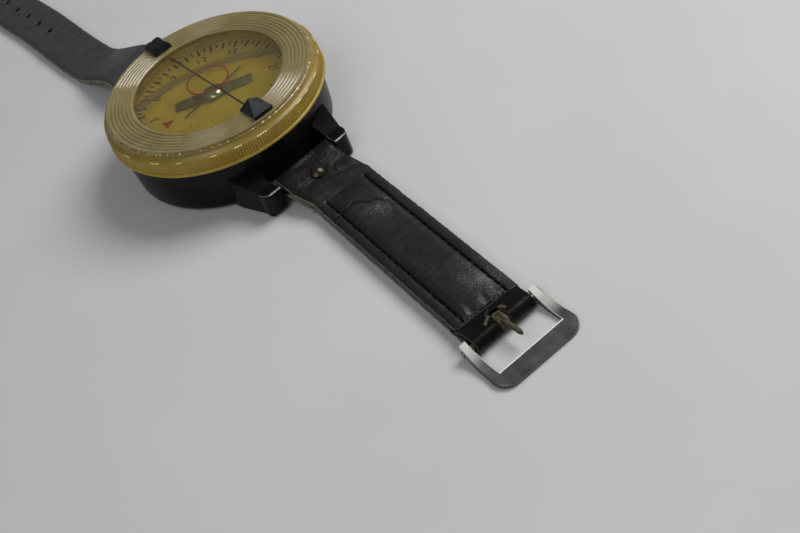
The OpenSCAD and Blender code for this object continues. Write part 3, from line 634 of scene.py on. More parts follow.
def case_lug():
    """One lug: a plan drawn up to its sloping top, chamfered at the nose and rounded, with a painted highlight
    along the nose's top edge.
    """
    nose, glint_strip = 2.6, 0.6
    plan = [(BASE_R - 1.6, LUG_IN), (LUG_NOSE, LUG_IN)]
    plan += arc(LUG_NOSE - nose, LUG_OUT - nose, nose, 0, 90, 8)
    plan += [(BAR_X - 1, LUG_OUT), (BASE_R - 4, LUG_OUT + 2.2), (BASE_R - 6.2, LUG_OUT + 2.4)]
    bm = crossed(slab(plan, 0.3, 10.0), (LUG_NOSE - glint_strip, BAR_X - 1, BASE_R - 1))
    for v in bm.verts:
        if v.co.z > 5:
            v.co.z = lug_top(v.co.x)
    cut = bmesh.ops.bisect_plane(bm, geom=bm.verts[:] + bm.edges[:] + bm.faces[:], dist=0.001,
                                 plane_co=(LUG_NOSE - 1.2, 0, 0.3), plane_no=(0.9, 0, -1), clear_outer=True)
    bmesh.ops.contextual_create(bm, geom=[e for e in cut["geom_cut"] if isinstance(e, bmesh.types.BMEdge)])
    bmesh.ops.recalc_face_normals(bm, faces=bm.faces)
    # Painted highlight on the rounded top edge of the nose
    for face in soften(bm, 0.55, 5, 25):
        at = face.calc_center_median()
        if at.x > LUG_NOSE - 2.8 and at.z > LUG_TOP - 0.56:
            face.material_index = 1
    # Painted highlight on a strip of the top face along the nose
    for face in bm.faces:
        at = face.calc_center_median()
        if at.x > LUG_NOSE - glint_strip and at.z > LUG_TOP - 0.02:
            face.material_index = 1
    return bm


def make_case():
    """The cup and its four lugs, whose noses carry a painted highlight."""
    piece("case_shell", case_cup(), [case_black], "case", ["case_body"], 40)
    lugs = [moved(case_lug(), Matrix.Diagonal((sx, sy, 1, 1))) for sx in (1, -1) for sy in (1, -1)]
    piece("case_lugs", join(lugs), [case_black, case_nose_glint], "case", (), 60, 1.2)


# Capsule and dial


def make_capsule():
    """Bowl, seal, glass with the liquid under it, clamping ring and dial; bowl, seal and ring carry painted light,
    paler than their own yellow.
    """
    web, post_r, bore_r, liquid_foot, liquid_r, flat_r = 9.0, 1.0, 1.05, 11.2, 23.5, 25.6
    groove_r, groove_low, groove_high, ring_edge, ring_top = 26.6, 16.5, 17.5, 18.9, 19.0
    bowl = [(WELL_R, CASE_FLOOR), (CUP_R, CASE_FLOOR), (CUP_R, CUP_TOP), (WELL_R, CUP_TOP), (WELL_R, DIAL_Z),
            (post_r, DIAL_Z), (post_r, web), (WELL_R, web)]
    piece("capsule_cup", turned(bowl, ROUND_STEPS), [capsule_yellow_brightened], "case", ["capsule_bowl"])
    seal = [(SEAL_IN, CUP_TOP), (SEAL_R, CUP_TOP), (SEAL_R, SEAL_TOP), (SEAL_IN, SEAL_TOP)]
    piece("capsule_seal", turned(seal, ROUND_STEPS), [seal_yellow_brightened], "case", ["window_gasket"])
    glass = [(0, liquid_foot), (liquid_r, liquid_foot), (liquid_r, SEAL_TOP), (flat_r, SEAL_TOP), (SEAL_R, 16.8),
             (SEAL_R, 18.2), (flat_r, GLASS_TOP), (0, GLASS_TOP)]
    piece("capsule_glass", turned(glass, ROUND_STEPS, closed=False), [window_clear], "case",
          ["capsule_window"])
    piece("bubble_edge", bubble_edge(), [bubble_sheen_film, bubble_glint_line], "case", (), 50)
    ring = [(CAVITY_R, CASE_H), (RING_R, CASE_H), (RING_R, groove_low), (groove_r, groove_low),
            (groove_r, groove_high), (RING_R, groove_high), (RING_R, ring_edge), (26.8, ring_top), (24.4, ring_top),
            (SEAL_IN, ring_edge), (SEAL_IN, GLASS_TOP), (CAVITY_R, GLASS_TOP)]
    piece("clamping_ring", turned(ring, ROUND_STEPS), [capsule_yellow_brightened], "case", ["lock_ring"])
    dial = [(bore_r, DIAL_Z), (DIAL_R, DIAL_Z), (DIAL_R, DIAL_TOP - 0.1), (DIAL_R - 0.1, DIAL_TOP),
            (bore_r, DIAL_TOP)]
    piece("dial_card", turned(dial, ROUND_STEPS), [dial_cream], "case", ["dial_plate"])


# The bubble's edge is part of a circle on the plan, cut off at the capsule's wall
BUBBLE_AT, BUBBLE_R, BUBBLE_RIM = Vector((23.8, -12.4)), 38.3, 23.6


def stacked(levels):
    """Flat closed outlines at rising heights, bridged into one body."""
    bm = bmesh.new()
    loops = []
    for points, z in levels:
        ring = [bm.verts.new((x, y, z)) for x, y in points]
        loops.append((ring, [bm.edges.new(pair) for pair in zip(ring, ring[1:] + ring[:1])]))
    for (_, lower), (_, upper) in zip(loops, loops[1:]):
        bmesh.ops.bridge_loops(bm, edges=lower + upper)
    bm.faces.new(loops[0][0])
    bm.faces.new(loops[-1][0])
    return bm


def bubble_edge():
    """Curved skin of the liquid where a big bubble ends, from the dial up to the glass, with painted highlight
    lines at its foot and top.
    """
    rows, cuts, belly, skin, top = 14, 48, 1.3, 0.12, 16.47
    gap, lean = BUBBLE_AT.length, math.atan2(BUBBLE_AT.y, BUBBLE_AT.x)
    levels = []
    for i in range(rows + 1):
        t = i / rows
        bulge = BUBBLE_R + belly * math.sin(math.pi * t)
        outline = []
        for r in (bulge, bulge - skin):
            spread = math.acos((BUBBLE_RIM ** 2 + gap ** 2 - r ** 2) / (2 * BUBBLE_RIM * gap))
            turns = (lean - spread, lean + spread)
            ends = [BUBBLE_RIM * Vector((math.cos(a), math.sin(a))) - BUBBLE_AT for a in turns]
            first, last = (math.atan2(e.y, e.x) % TAU for e in ends)
            arc_line = [BUBBLE_AT + r * Vector((math.cos(a), math.sin(a)))
                        for a in (mix(first, last, k / cuts) for k in range(cuts + 1))]
            outline += arc_line if not outline else list(reversed(arc_line))
        levels.append(([tuple(at) for at in outline], mix(DIAL_TOP + 0.03, top, t)))
    bm = stacked(levels)
    # Painted highlight lines where the skin meets the dial and the glass
    for face in bm.faces:
        at = face.calc_center_median()
        if at.z < DIAL_TOP + 0.5 or at.z > CUP_TOP:
            face.material_index = 1
    return bm


NORTH, RED_MARK = math.radians(-84), math.radians(-98)
PRINT_LOW, PRINT_HIGH = DIAL_TOP, DIAL_TOP + 0.04


def block(x0, x1, y0, y1, z0, z1):
    """A box between two corners."""
    bm = bmesh.new()
    bmesh.ops.create_cube(bm, size=1.0)
    bmesh.ops.scale(bm, vec=(x1 - x0, y1 - y0, z1 - z0), verts=bm.verts)
    bmesh.ops.translate(bm, vec=((x0 + x1) / 2, (y0 + y1) / 2, (z0 + z1) / 2), verts=bm.verts)
    return bm


def numeral(text, size, depth):
    """A number drawn flat, with its middle at the origin and its foot towards -Y."""
    curve = bpy.data.curves.new("numeral", "FONT")
    curve.body = text
    curve.size = size
    curve.extrude = depth / 2
    curve.align_x = "CENTER"
    curve.align_y = "CENTER"
    curve.resolution_u = 3
    holder = bpy.data.objects.new("numeral", curve)
    bpy.context.scene.collection.objects.link(holder)
    bpy.context.view_layer.update()
    mesh = bpy.data.meshes.new_from_object(holder.evaluated_get(bpy.context.evaluated_depsgraph_get()))
    bm = bmesh.new()
    bm.from_mesh(mesh)
    bpy.data.objects.remove(holder)
    bpy.data.curves.remove(curve)
    bpy.data.meshes.remove(mesh)
    return bm


def make_dial_print():
    """Long and short ticks, a number at every thirty degrees but north, and the red mark."""
    ticks, numbers, tick_end, number_r, number_size = 72, 12, 22.3, 17.2, 3.6
    marks = []
    for i in range(ticks):
        turn = Matrix.Rotation(NORTH - TAU * i / ticks, 4, "Z")
        start, half = (19.7, 0.30) if i % 2 == 0 else (20.8, 0.20)
        marks.append(moved(block(start, tick_end, -half, half, PRINT_LOW, PRINT_HIGH), turn))
    upright = Matrix.Translation((number_r, 0, (PRINT_LOW + PRINT_HIGH) / 2)) @ Matrix.Rotation(-TAU / 4, 4, "Z")
    for i in range(1, numbers):
        turn = Matrix.Rotation(NORTH - TAU * i / numbers, 4, "Z")
        marks.append(moved(numeral(str(3 * i), number_size, PRINT_HIGH - PRINT_LOW), turn @ upright))
    piece("dial_scale", join(marks), [print_black], "case")
    arrow = slab([(15.9, -1.7), (15.9, 1.7), (12.7, 0)], PRINT_LOW, PRINT_HIGH)
    piece("red_index_mark", moved(arrow, Matrix.Rotation(RED_MARK, 4, "Z")), [print_red], "case")


# Needle

POINTER_TURN = math.radians(98.5)


def make_needle():
    """Thin pointer wire, wide blade and domed hub."""
    reach, waist, end, wire_r, wire_z = 11.0, 2.3, 1.7, 0.26, 12.95
    plan = [(-reach, -end), (0, -waist), (reach, -end), (reach, end), (0, waist), (-reach, end)]
    bar = slab(plan, BLADE_LOW, BLADE_TOP)
    soften(bar, 0.12, 2)
    wire = bmesh.new()
    bmesh.ops.create_cone(wire, cap_ends=True, segments=12, radius1=wire_r, radius2=wire_r, depth=2 * reach)
    lying = Matrix.Rotation(POINTER_TURN, 4, "Z") @ Matrix.Rotation(TAU / 4, 4, "Y")
    moved(wire, Matrix.Translation((0, 0, wire_z)) @ lying)
    piece("needle_pointer", wire, [needle_grey], "needle")
    piece("needle_blade", moved(bar, Matrix.Rotation(NEEDLE_TURN, 4, "Z")), [needle_grey], "needle",
          ["needle_bar"])
    dome = [(1.4, BLADE_LOW), (2.0, BLADE_LOW), (2.0, BLADE_TOP), (3.3, BLADE_TOP), (3.4, 12.68), (3.36, 12.85),
            (3.1, 13.1), (2.7, 13.4), (2.1, 13.72), (1.4, 13.95), (0.7, 14.07), (0, 14.1), (0, 13.35), (1.4, 13.35)]
    piece("needle_dome", turned(dome, 64), [hub_metal], "needle", ["needle_hub"], 50)


# Bezel


def bezel_outline():
    """Outline of the milky rim: lip of the window, rings, top edge, hollow shoulder, skirt and foot lip."""
    cuts, rings, first, step, width, depth = 6, 6, 0.7, 1.05, 0.7, 0.32
    outline = [(0, WINDOW_TOP), (WINDOW_R - 0.4, WINDOW_TOP)]
    for i in range(cuts + 1):
        outline.append((mix(WINDOW_R, LIP_R, i / cuts), mix(WINDOW_TOP, TOP_Z, ease(i / cuts))))
    for i in reversed(range(rings)):
        r = TOP_R - first - step * i
        for k in range(cuts + 1):
            outline.append((r - width * (1 - k / cuts), TOP_Z - depth * (0.5 - 0.5 * math.cos(TAU * k / cuts))))
    top_edge = ((-0.15, 0), (-0.04, 0.05), (0, 0.16), (0, 0.5), (-0.12, 0.7), (0.1, 0.88), (0.3, 0.92))
    outline += [(TOP_R + out, TOP_Z - drop) for out, drop in top_edge]
    hollow = 7
    for i in range(1, hollow):
        t = i / hollow
        outline.append((mix(TOP_R + 0.32, SHOULDER_R, t * t), mix(TOP_Z - 0.95, SHOULDER_Z, t)))
    outline.append((SHOULDER_R + 0.05, SHOULDER_Z))
    outline += [(SKIRT_R + out, SHOULDER_Z - drop) for out, drop in ((-0.22, 0.02), (-0.05, 0.14), (0, 0.3))]
    foot = ((0, 17.6), (0, 16.6), (0, 15.7), (-0.05, 15.5), (0.15, 15.42), (0.27, 15.3), (0.3, 15.1), (0.3, 14.85),
            (0.22, 14.72), (0.1, SKIRT_Z))
    outline += [(SKIRT_R + out, z) for out, z in foot]
    outline += [(SKIRT_IN + 0.1, SKIRT_Z), (SKIRT_IN, SKIRT_Z + 0.1), (SKIRT_IN, SPRING_LOW),
                (SPRING_R, SPRING_LOW), (SPRING_R, SPRING_HIGH), (SKIRT_IN, SPRING_HIGH), (SKIRT_IN, PLATE_Z),
                (WINDOW_R, PLATE_Z), (0, PLATE_Z)]
    return outline


def cut_teeth(bm):
    """Fine teeth round the skirt, and a chipped groove under the top edge."""
    teeth_foot, groove_low, groove_high, rough = 15.45, TOP_Z - 0.95, TOP_Z - 0.55, 0.12
    for v in bm.verts:
        r = math.hypot(v.co.x, v.co.y)
        turn = math.atan2(v.co.y, v.co.x)
        share = 1.0
        if teeth_foot < v.co.z < SHOULDER_Z + 0.01 and r > SKIRT_R - 0.23:
            share = 1 - TOOTH * (0.5 - 0.5 * math.cos(TEETH * turn)) / r
        elif groove_low < v.co.z < groove_high and r > TOP_R - 0.2:
            share = 1 + rough * noise.noise(Vector((turn * 160, v.co.z * 3, 0))) / r
        v.co.x *= share
        v.co.y *= share


def make_bezel():
    """The clear bezel with a chipped groove under its top edge, painted glints along that groove and along the
    shoulder's edge, the course line under it and the red ring on it.
    """
    rim = turned(bezel_outline(), TEETH * 4, closed=False)
    cut_teeth(rim)
    for face in rim.faces:
        at = face.calc_center_median()
        r, turn = math.hypot(at.x, at.y), math.atan2(at.y, at.x)
        if r < WINDOW_R:
            face.material_index = 1
        # Painted glints: pale faces scattered along the groove and along the shoulder's edge
        elif TOP_Z - 0.95 < at.z < TOP_Z - 0.5 and TOP_R - 0.2 < r:
            face.material_index = 2 if noise.noise(Vector((turn * 55, at.z * 2, 7))) > 0.3 else 0
        elif SHOULDER_Z - 0.16 < at.z < SHOULDER_Z + 0.005 and r > SHOULDER_R:
            face.material_index = 2 if noise.noise(Vector((turn * 9, 3, 1))) > 0.12 else 0
    piece("bezel_top", rim, [bezel_amber, window_clear, bezel_glint], "bezel",
          ["bezel_cap"], 40, 0.9)
    turn = Matrix.Rotation(BEZEL_TURN, 4, "Z")
    line = block(-20.8, 20.6, -0.24, 0.24, PLATE_Z - 0.08, PLATE_Z + 0.06)
    mark = slab([(-19.2, 0), (-18.3, 0.8), (-17.2, 0), (-18.3, -0.8)], PLATE_Z - 0.09, PLATE_Z + 0.05)
    piece("course_line", moved(join([line, mark]), turn), [print_black], "bezel")
    inner, outer, low, high = 5.6, 5.95, WINDOW_TOP - 0.04, WINDOW_TOP + 0.05
    ring = [(inner, low), (outer, low), (outer, high), (inner, high)]
    piece("bezel_red_ring", turned(ring, 128), [line_red], "bezel")


def front_point():
    """A low foot that follows the bezel's lip, with a pyramid on it whose outer face carries a painted reflection.
    """
    near, far, half, step_near, step_far = 20.4, 27.6, 2.9, TOP_Z + 0.4, TOP_Z + 1.0
    foot = bmesh.new()
    points = [foot.verts.new(at) for at in (
        (near, -half, WINDOW_TOP), (LIP_R, -half, TOP_Z), (far, -half, TOP_Z),
        (far, half, TOP_Z), (LIP_R, half, TOP_Z), (near, half, WINDOW_TOP),
        (near, -half, step_near), (far, -half, step_far), (far, half, step_far), (near, half, step_near),
        (22.13, -0.2, TOP_Z + 2.95))]
    # The outer face gets the painted reflection
    sheen_face = (7, 8, 10)
    for ring in ((0, 5, 4, 1), (1, 4, 3, 2), (0, 1, 2, 7, 6), (2, 3, 8, 7), (3, 4, 5, 9, 8), (5, 0, 6, 9),
                 (6, 7, 10), (8, 9, 10), (9, 6, 10), sheen_face):
        foot.faces.new([points[i] for i in ring]).material_index = 1 if ring == sheen_face else 0
    bmesh.ops.recalc_face_normals(foot, faces=foot.faces)
    soften(foot, 0.06, 1, 12)
    return foot


def rear_notch():
    """A block with cut corners and a notch, drawn along the sight line and sloping at its inner end."""
    half, high, notch, deep, corner, back, front = 2.8, 1.6, 0.35, 0.3, 0.8, -28.2, -22.2
    bm = slab([(-half, 0), (half, 0), (half, high - corner), (half - corner, high), (notch, high), (0, high - deep),
               (-notch, high), (corner - half, high), (-half, high - corner)], back, front)
    for v in bm.verts:
        if v.co.z > front - 0.8 and v.co.y > 0.1:
            v.co.z -= 0.9 * v.co.y
    soften(bm, 0.07, 1, 20)
    return moved(bm, Matrix(((0, 0, 1, 0), (1, 0, 0, 0), (0, 1, 0, TOP_Z), (0, 0, 0, 1))))


def make_sights():
    """The two sights on the bezel, turned with it."""
    turn = Matrix.Rotation(BEZEL_TURN, 4, "Z")
    piece("front_sight_point", moved(front_point(), turn), [sight_black, sight_sheen], "bezel",
          ["front_sight"], 8)
    piece("rear_sight_notch", moved(rear_notch(), turn), [sight_black], "bezel",
          ["rear_sight"], 12)


# Straps


def layer_half(d, last):
    """Half the gap between the strap's layers, narrowing from the loop to its last value."""
    return mix(LOOP_IN, last, ease(d / 7))


def pinch(d):
    """Lift of the short strap's folded end, which the rivet draws up against the top leather."""
    return 2 * (layer_half(d, FILLER / 2) - 0.1) * ease((d - 1.5) / 3.5) * ease((13.5 - d) / 3)


def short_mid(d):
    """Height of the short strap's middle."""
    return mix(BAR_Z, LEATHER + FILLER / 2, ease(d / SHORT_FALL))


def long_mid(d):
    """Height of the long strap's middle: up to a crest, then down to the table."""
    crest = BAR_Z + CREST_RISE
    fall = ease((d - CREST_AT) / (LONG_FALL - CREST_AT))
    return BAR_Z + CREST_RISE * ease(d / CREST_AT) + (LEATHER - crest) * fall


def short_plan(d):
    """Middle of the short strap and its sideways direction, at a distance from the lug bar."""
    turn = SHORT_SET * ease((d - 4) / 14)
    side = Vector((-math.sin(turn), math.cos(turn)))
    bend = Vector((BAR_X + BEND_AT, 1.6))
    if d <= STRAIGHT:
        return Vector((BAR_X + d, SHORT_Y)), side
    if d <= BEND_AT:
        return Vector((BAR_X + STRAIGHT, SHORT_Y)).lerp(bend, (d - STRAIGHT) / (BEND_AT - STRAIGHT)), side
    return bend + (d - BEND_AT) * Vector((math.cos(SHORT_SET), math.sin(SHORT_SET))), side


# Distance from the lug bar, middle and half width at stations of the long strap, up to its rounded tip
LONG_RUN = [(-5, 0, 8.7), (5.5, 0, 8.7), (15, -0.4, 8.7), (40, -3, 7.3), (85, -0.8, 7.3), (122, 0.2, 7.3)]


def long_plan(d):
    """Middle and half width of the long strap at a distance from the lug bar."""
    tip_from, tip_y, tip_half = LONG_RUN[-1]
    if d >= tip_from:
        share = min(1.0, (d - tip_from) / (LONG_LEN - tip_from))
        return tip_y, tip_half * math.sqrt(max(0.0, 1 - share * share)) * (1 - 0.1 * share) + 0.05
    for (a, ya, ha), (b, yb, hb) in zip(LONG_RUN, LONG_RUN[1:]):
        if d <= b:
            t = ease((d - a) / (b - a)) if b > 15 else (d - a) / (b - a)
            return mix(ya, yb, t), mix(ha, hb, t)


LOOP_LEN = math.pi * (LOOP_IN + LEATHER / 2)


def strap_station(s, length):
    """Where a point of the leather lies: under the bar (-1), round it (0) or over it (1)."""
    run = s * (FOLD_END + LOOP_LEN + length)
    if run < FOLD_END:
        return -1, FOLD_END - run
    if run < FOLD_END + LOOP_LEN:
        return 0, (run - FOLD_END) / LOOP_LEN
    return 1, run - FOLD_END - LOOP_LEN


def ripple(x, y, size, seed):
    """Gentle unevenness of a size in millimetres."""
    return noise.noise(Vector((x / size, y / size, seed)))


def short_relief(d, y, half):
    """Height of the short strap's top over its plain layer: padding, sewing grooves and wrinkles."""
    inset = half - abs(y)
    padded = ease((d - 13.0) / 7) * ease((SEAM_AT - 0.2 - d) / 2.4)
    crown = 0.5 * padded * ease((inset - STITCH_IN) / 2.2)
    sewn = ease((d - 14.2) / 0.8) * ease((SEAM_AT + 0.3 - d) / 0.6)
    groove = -0.4 * sewn * math.exp(-((inset - STITCH_IN) / 0.42) ** 2)
    seam = -0.4 * math.exp(-((d - SEAM_AT) / 0.4) ** 2) * ease((inset - STITCH_IN + 0.4) / 0.6)
    end = -0.6 * ease((d - (TOP_END - 0.8)) / 1.0)
    rolled = -0.35 * ease((0.9 - inset) / 0.9)
    wrinkle = 0.16 * ripple(d, y, 5.5, 2.0) + 0.10 * ripple(d, y * 0.5, 2.1, 5.0)
    wrinkle += 0.04 * ripple(d, y * 0.6, 0.9, 9.0)
    arch = d - 14.6 - 0.05 * (y + 1.5) ** 2
    fold = -0.16 * math.exp(-(arch / 0.5) ** 2) * ease((inset - 2.6) / 1.5) * ease((5 - y) / 4)
    tuck = -0.2 * math.exp(-((d - 8.6 - 0.3 * y) / 0.5) ** 2) * ease((y + 1) / 4) * ease((8 - y) / 3)
    near_seam = math.exp(-((d - SEAM_AT + 1.8) / 1.4) ** 2) * ease((inset - STITCH_IN) / 1.5)
    pucker = -0.4 * near_seam * max(0.0, math.sin(1.5 * y + 2.5 * ripple(y, d, 4.0, 12.0)))
    return crown + groove + seam + end + rolled + wrinkle * ease(d / 4) + fold + tuck + pucker


def long_relief(d, y, half):
    """Height of the long strap's top over its plain layer: rolled edges and wrinkles."""
    inset = half - abs(y)
    rolled = -0.3 * ease((0.9 - inset) / 0.9)
    return rolled + (0.14 * ripple(d, y, 7.0, 21.0) + 0.05 * ripple(d, y, 2.0, 25.0)) * ease(d / 5)


def fray(d, seed):
    """Small unevenness of a cut edge."""
    return 0.13 * noise.noise(Vector((d / 1.7, seed, 0))) + 0.08 * noise.noise(Vector((d / 0.5, seed, 4)))


def strap_leather(long):
    """Top leather of a strap half: from its folded end, round the lug bar and along the strap."""
    length = LONG_LEN if long else TOP_END
    relief_of = long_relief if long else short_relief

    def place(s, t, out):
        part, at = strap_station(s, length)
        d = 0.0 if part == 0 else at
        if long:
            y_mid, half = long_plan(d)
        else:
            middle, side = short_plan(d)
            y_mid, half = 0.0, STRAP_HALF
        half += fray(d + 40 * (part + 1), 3.0 if t > 0 else 8.0)
        if part == 0:
            r = LOOP_IN + out * LEATHER
            turn = -math.pi / 2 - math.pi * at
            x, z = BAR_X + r * math.cos(turn), BAR_Z + r * math.sin(turn)
            y = y_mid + t * half if long else SHORT_Y + t * half
            z += 0.1 * out * ripple(y, at * 6, 2.2, 31.0) * math.sin(math.pi * at)
            return Vector((-x if long else x, y, z))
        if long:
            x, y = BAR_X + d, y_mid + t * half
        else:
            x, y = middle + t * half * side
        flat = 0.0 if long else FILLER / 2
        mid = (long_mid if long else short_mid)(x - BAR_X)
        z = mid + part * (layer_half(max(0.0, x - BAR_X), flat) + out * LEATHER)
        if part == 1 and out:
            z += relief_of(d, t * half, half)
        if part == -1 and not long:
            z += pinch(d)
        return Vector((-x if long else x, y, z))

    steps, rows = (300, 36) if long else (320, 60)
    return sheet(steps, rows, lambda s, t: place(s, t, 1), lambda s, t: place(s, t, 0))


def lower_layer(long, start, end, low, high):
    """A layer under the strap's top leather, between two shares of its depth."""
    def place(s, t, level):
        d = mix(start, end, s)
        if long:
            y_mid, half = long_plan(d)
            half += fray(d, 13.0 if t > 0 else 17.0)
            x, y = BAR_X + d, y_mid + t * half
        else:
            middle, side = short_plan(d)
            x, y = middle + t * (STRAP_HALF + fray(d, 13.0 if t > 0 else 17.0)) * side
        flat = 0.0 if long else FILLER / 2
        half_gap = layer_half(x - BAR_X, flat)
        mid = (long_mid if long else short_mid)(x - BAR_X)
        z = mid + (half_gap * level if level > -1.001 else -(half_gap + LEATHER))
        return Vector((-x if long else x, y, max(z, 0.0)))

    return sheet(200 if long else 120, 16, lambda s, t: place(s, t, high), lambda s, t: place(s, t, low))


def stitch(at, turn, tilt=0.0, length=1.05, thick=0.27):
    """One stitch: a long bead of thread."""
    bm = bmesh.new()
    bmesh.ops.create_icosphere(bm, subdivisions=2, radius=1.0)
    bmesh.ops.scale(bm, vec=(length, thick, thick), verts=bm.verts)
    return moved(bm, Matrix.Translation(at) @ Matrix.Rotation(turn, 4, "Z") @ Matrix.Rotation(tilt, 4, "Y"))


def top_of_short(d, y):
    """Height of the short strap's surface."""
    return short_mid(d) + layer_half(d, FILLER / 2) + LEATHER + short_relief(d, y, STRAP_HALF)


def make_stitching():
    """Two long seams and the bared thread of the seam across the end."""
    count, first, step = 23, 15.0, 2.6
    sewn = []
    for sign in (1, -1):
        y = sign * (STRAP_HALF - STITCH_IN)
        for i in range(count):
            d = first + step * i
            middle, side = short_plan(d)
            x, w = middle + y * side
            sewn.append(stitch((x, w, top_of_short(d, y) + 0.10), SHORT_SET + 0.13 * sign, 0.05))
    piece("short_strap_stitching", join(sewn), [thread_black], "short_strap")
    bared = []
    for y in (-5.6, -4.5, -3.5, -2.3, 2.0, 3.1, 4.3, 5.5):
        d = SEAM_AT + 0.25 * math.sin(5 * y)
        middle, side = short_plan(d)
        x, w = middle + y * side
        turn = SHORT_SET + TAU / 4 + 0.5 * math.sin(9 * y)
        bared.append(stitch((x, w, top_of_short(d, y) + 0.12), turn, 0.0, 0.42 + 0.1 * math.sin(7 * y), 0.15))
    piece("cross_seam_thread", join(bared), [thread_pale], "short_strap")


def make_rivet(long):
    """Domed head on top of the strap half and a washer under its fold."""
    d = RIVET_AT
    mid = long_mid if long else short_mid
    slope = math.atan2(mid(d + 0.1) - mid(d - 0.1), 0.2)
    reach = layer_half(d, 0.0 if long else FILLER / 2) + LEATHER + 0.05
    place = Matrix.Translation((BAR_X + d, 0 if long else SHORT_Y, mid(d))) @ Matrix.Rotation(-slope, 4, "Y")
    head = [(0, 1.0), (0.5, 0.95), (1.0, 0.8), (1.5, 0.54), (1.82, 0.26), (2.0, 0.08), (2.0, 0.0), (1.0, 0.0)]
    under = -2 * reach + (0 if long else pinch(d))
    washer = [(r, under - drop) for r, drop in ((1.0, 0), (1.8, 0), (1.9, 0.1), (1.9, 0.35), (1.7, 0.5), (0, 0.5))]
    bm = moved(turned(head + washer, 48, closed=False), place @ Matrix.Translation((0, 0, reach)))
    if long:
        moved(bm, Matrix.Diagonal((-1, 1, 1, 1)))
    name = "long_strap" if long else "short_strap"
    piece(name + "_rivet_head", bm, [rivet_brass], name, [name + "_rivet"], 30)


def hole_punches():
    """Rods where the long strap's holes go."""
    parts = []
    for i in range(HOLES):
        bm = bmesh.new()
        bmesh.ops.create_cone(bm, cap_ends=True, segments=24, radius1=HOLE_R, radius2=HOLE_R, depth=12)
        at = (-(BAR_X + FIRST_HOLE + HOLE_STEP * i), -1.5 + 0.3 * i, 1.5)
        bmesh.ops.translate(bm, vec=at, verts=bm.verts)
        parts.append(bm)
    return join(parts)


def make_straps():
    """Both strap halves: top leather, lining, filler, sewing, holes and rivets."""
    piece("short_strap_top", strap_leather(False), [leather_black, edge_tan], "short_strap",
          ["short_strap_leather"], 50)
    pad = piece("short_strap_pad", lower_layer(False, LINING_FROM, FILLER_END, -1.0, 1.0), [edge_dark, edge_dark],
                "short_strap", ["short_strap_filler"], 50)
    piece("short_strap_back", lower_layer(False, LINING_FROM, SHORT_LEN, -2.0, -1.0), [leather_brown, edge_tan],
          "short_strap", ["short_strap_lining"], 50)
    make_stitching()
    top = piece("long_strap_top", strap_leather(True), [leather_long, edge_dark], "long_strap",
                ["long_strap_leather"], 50)
    punched(top, hole_punches())
    back = piece("long_strap_back", lower_layer(True, LINING_FROM, LONG_LEN, -2.0, -1.0), [leather_brown, edge_tan],
                 "long_strap", ["long_strap_lining"], 50)
    punched(back, hole_punches())
    make_rivet(False)
    make_rivet(True)


# Buckle

AT_BUCKLE = Matrix.Translation(PIN_AT) @ Matrix.Rotation(BUCKLE_SET, 4, "Z")
ALONG_BAR = Matrix.Rotation(-TAU / 4, 4, "X")


def trace(points):
    """Place and outward direction along a run of (x, z) points, by share of its length."""
    spans = [math.dist(a, b) for a, b in zip(points, points[1:])]
    total = sum(spans)

    def at(share):
        run = share * total
        for i, span in enumerate(spans):
            if run <= span or i == len(spans) - 1:
                break
            run -= span
        spot = Vector(points[i]).lerp(Vector(points[i + 1]), run / span)
        before = Vector(points[max(0, i - 1)])
        after = Vector(points[min(len(points) - 1, i + 2)])
        way = (after - before).normalized()
        return spot, Vector((-way.y, way.x))

    return at


def make_wrap():
    """Leather that comes out of the strap end, round the buckle bar and back under, slotted for the prong."""
    run = [(-5.9, 0.7), (-5.0, 0.95), (-4.0, 1.15), (-3.0, 1.25), (-2.0, 1.38), (-1.1, 1.5)]
    run += arc(0, 0, 1.55, 95, -110, 18)
    run += [(-1.6, -1.25), (-3.0, -0.6), (-4.6, -0.32), (-7.5, -0.3)]
    at = trace(run)
    halves = []
    for sign in (1, -1):
        def place(s, t, out, sign=sign):
            spot, way = at(s)
            inner = 1.85 * ease((spot.x + 4.4) / 1.2)
            edge = 8.4 + 0.35 * ease((-spot.x - 3) / 3) + fray(spot.x * 2, 41.0)
            y = mix(inner, edge, (t + 1) / 2)
            lift = 0.07 * ripple(spot.x, y * sign, 1.8, 51.0)
            x, z = spot + way * (0.44 * (1 if out else -1) + (lift if out else 0))
            return Vector((x, sign * y, z))
        halves.append(sheet(110, 22, lambda s, t: place(s, t, True), lambda s, t: place(s, t, False)))
    piece("buckle_wrap", moved(join(halves), AT_BUCKLE), [leather_smooth, edge_dark], "short_strap",
          ["buckle_loop"], 50)


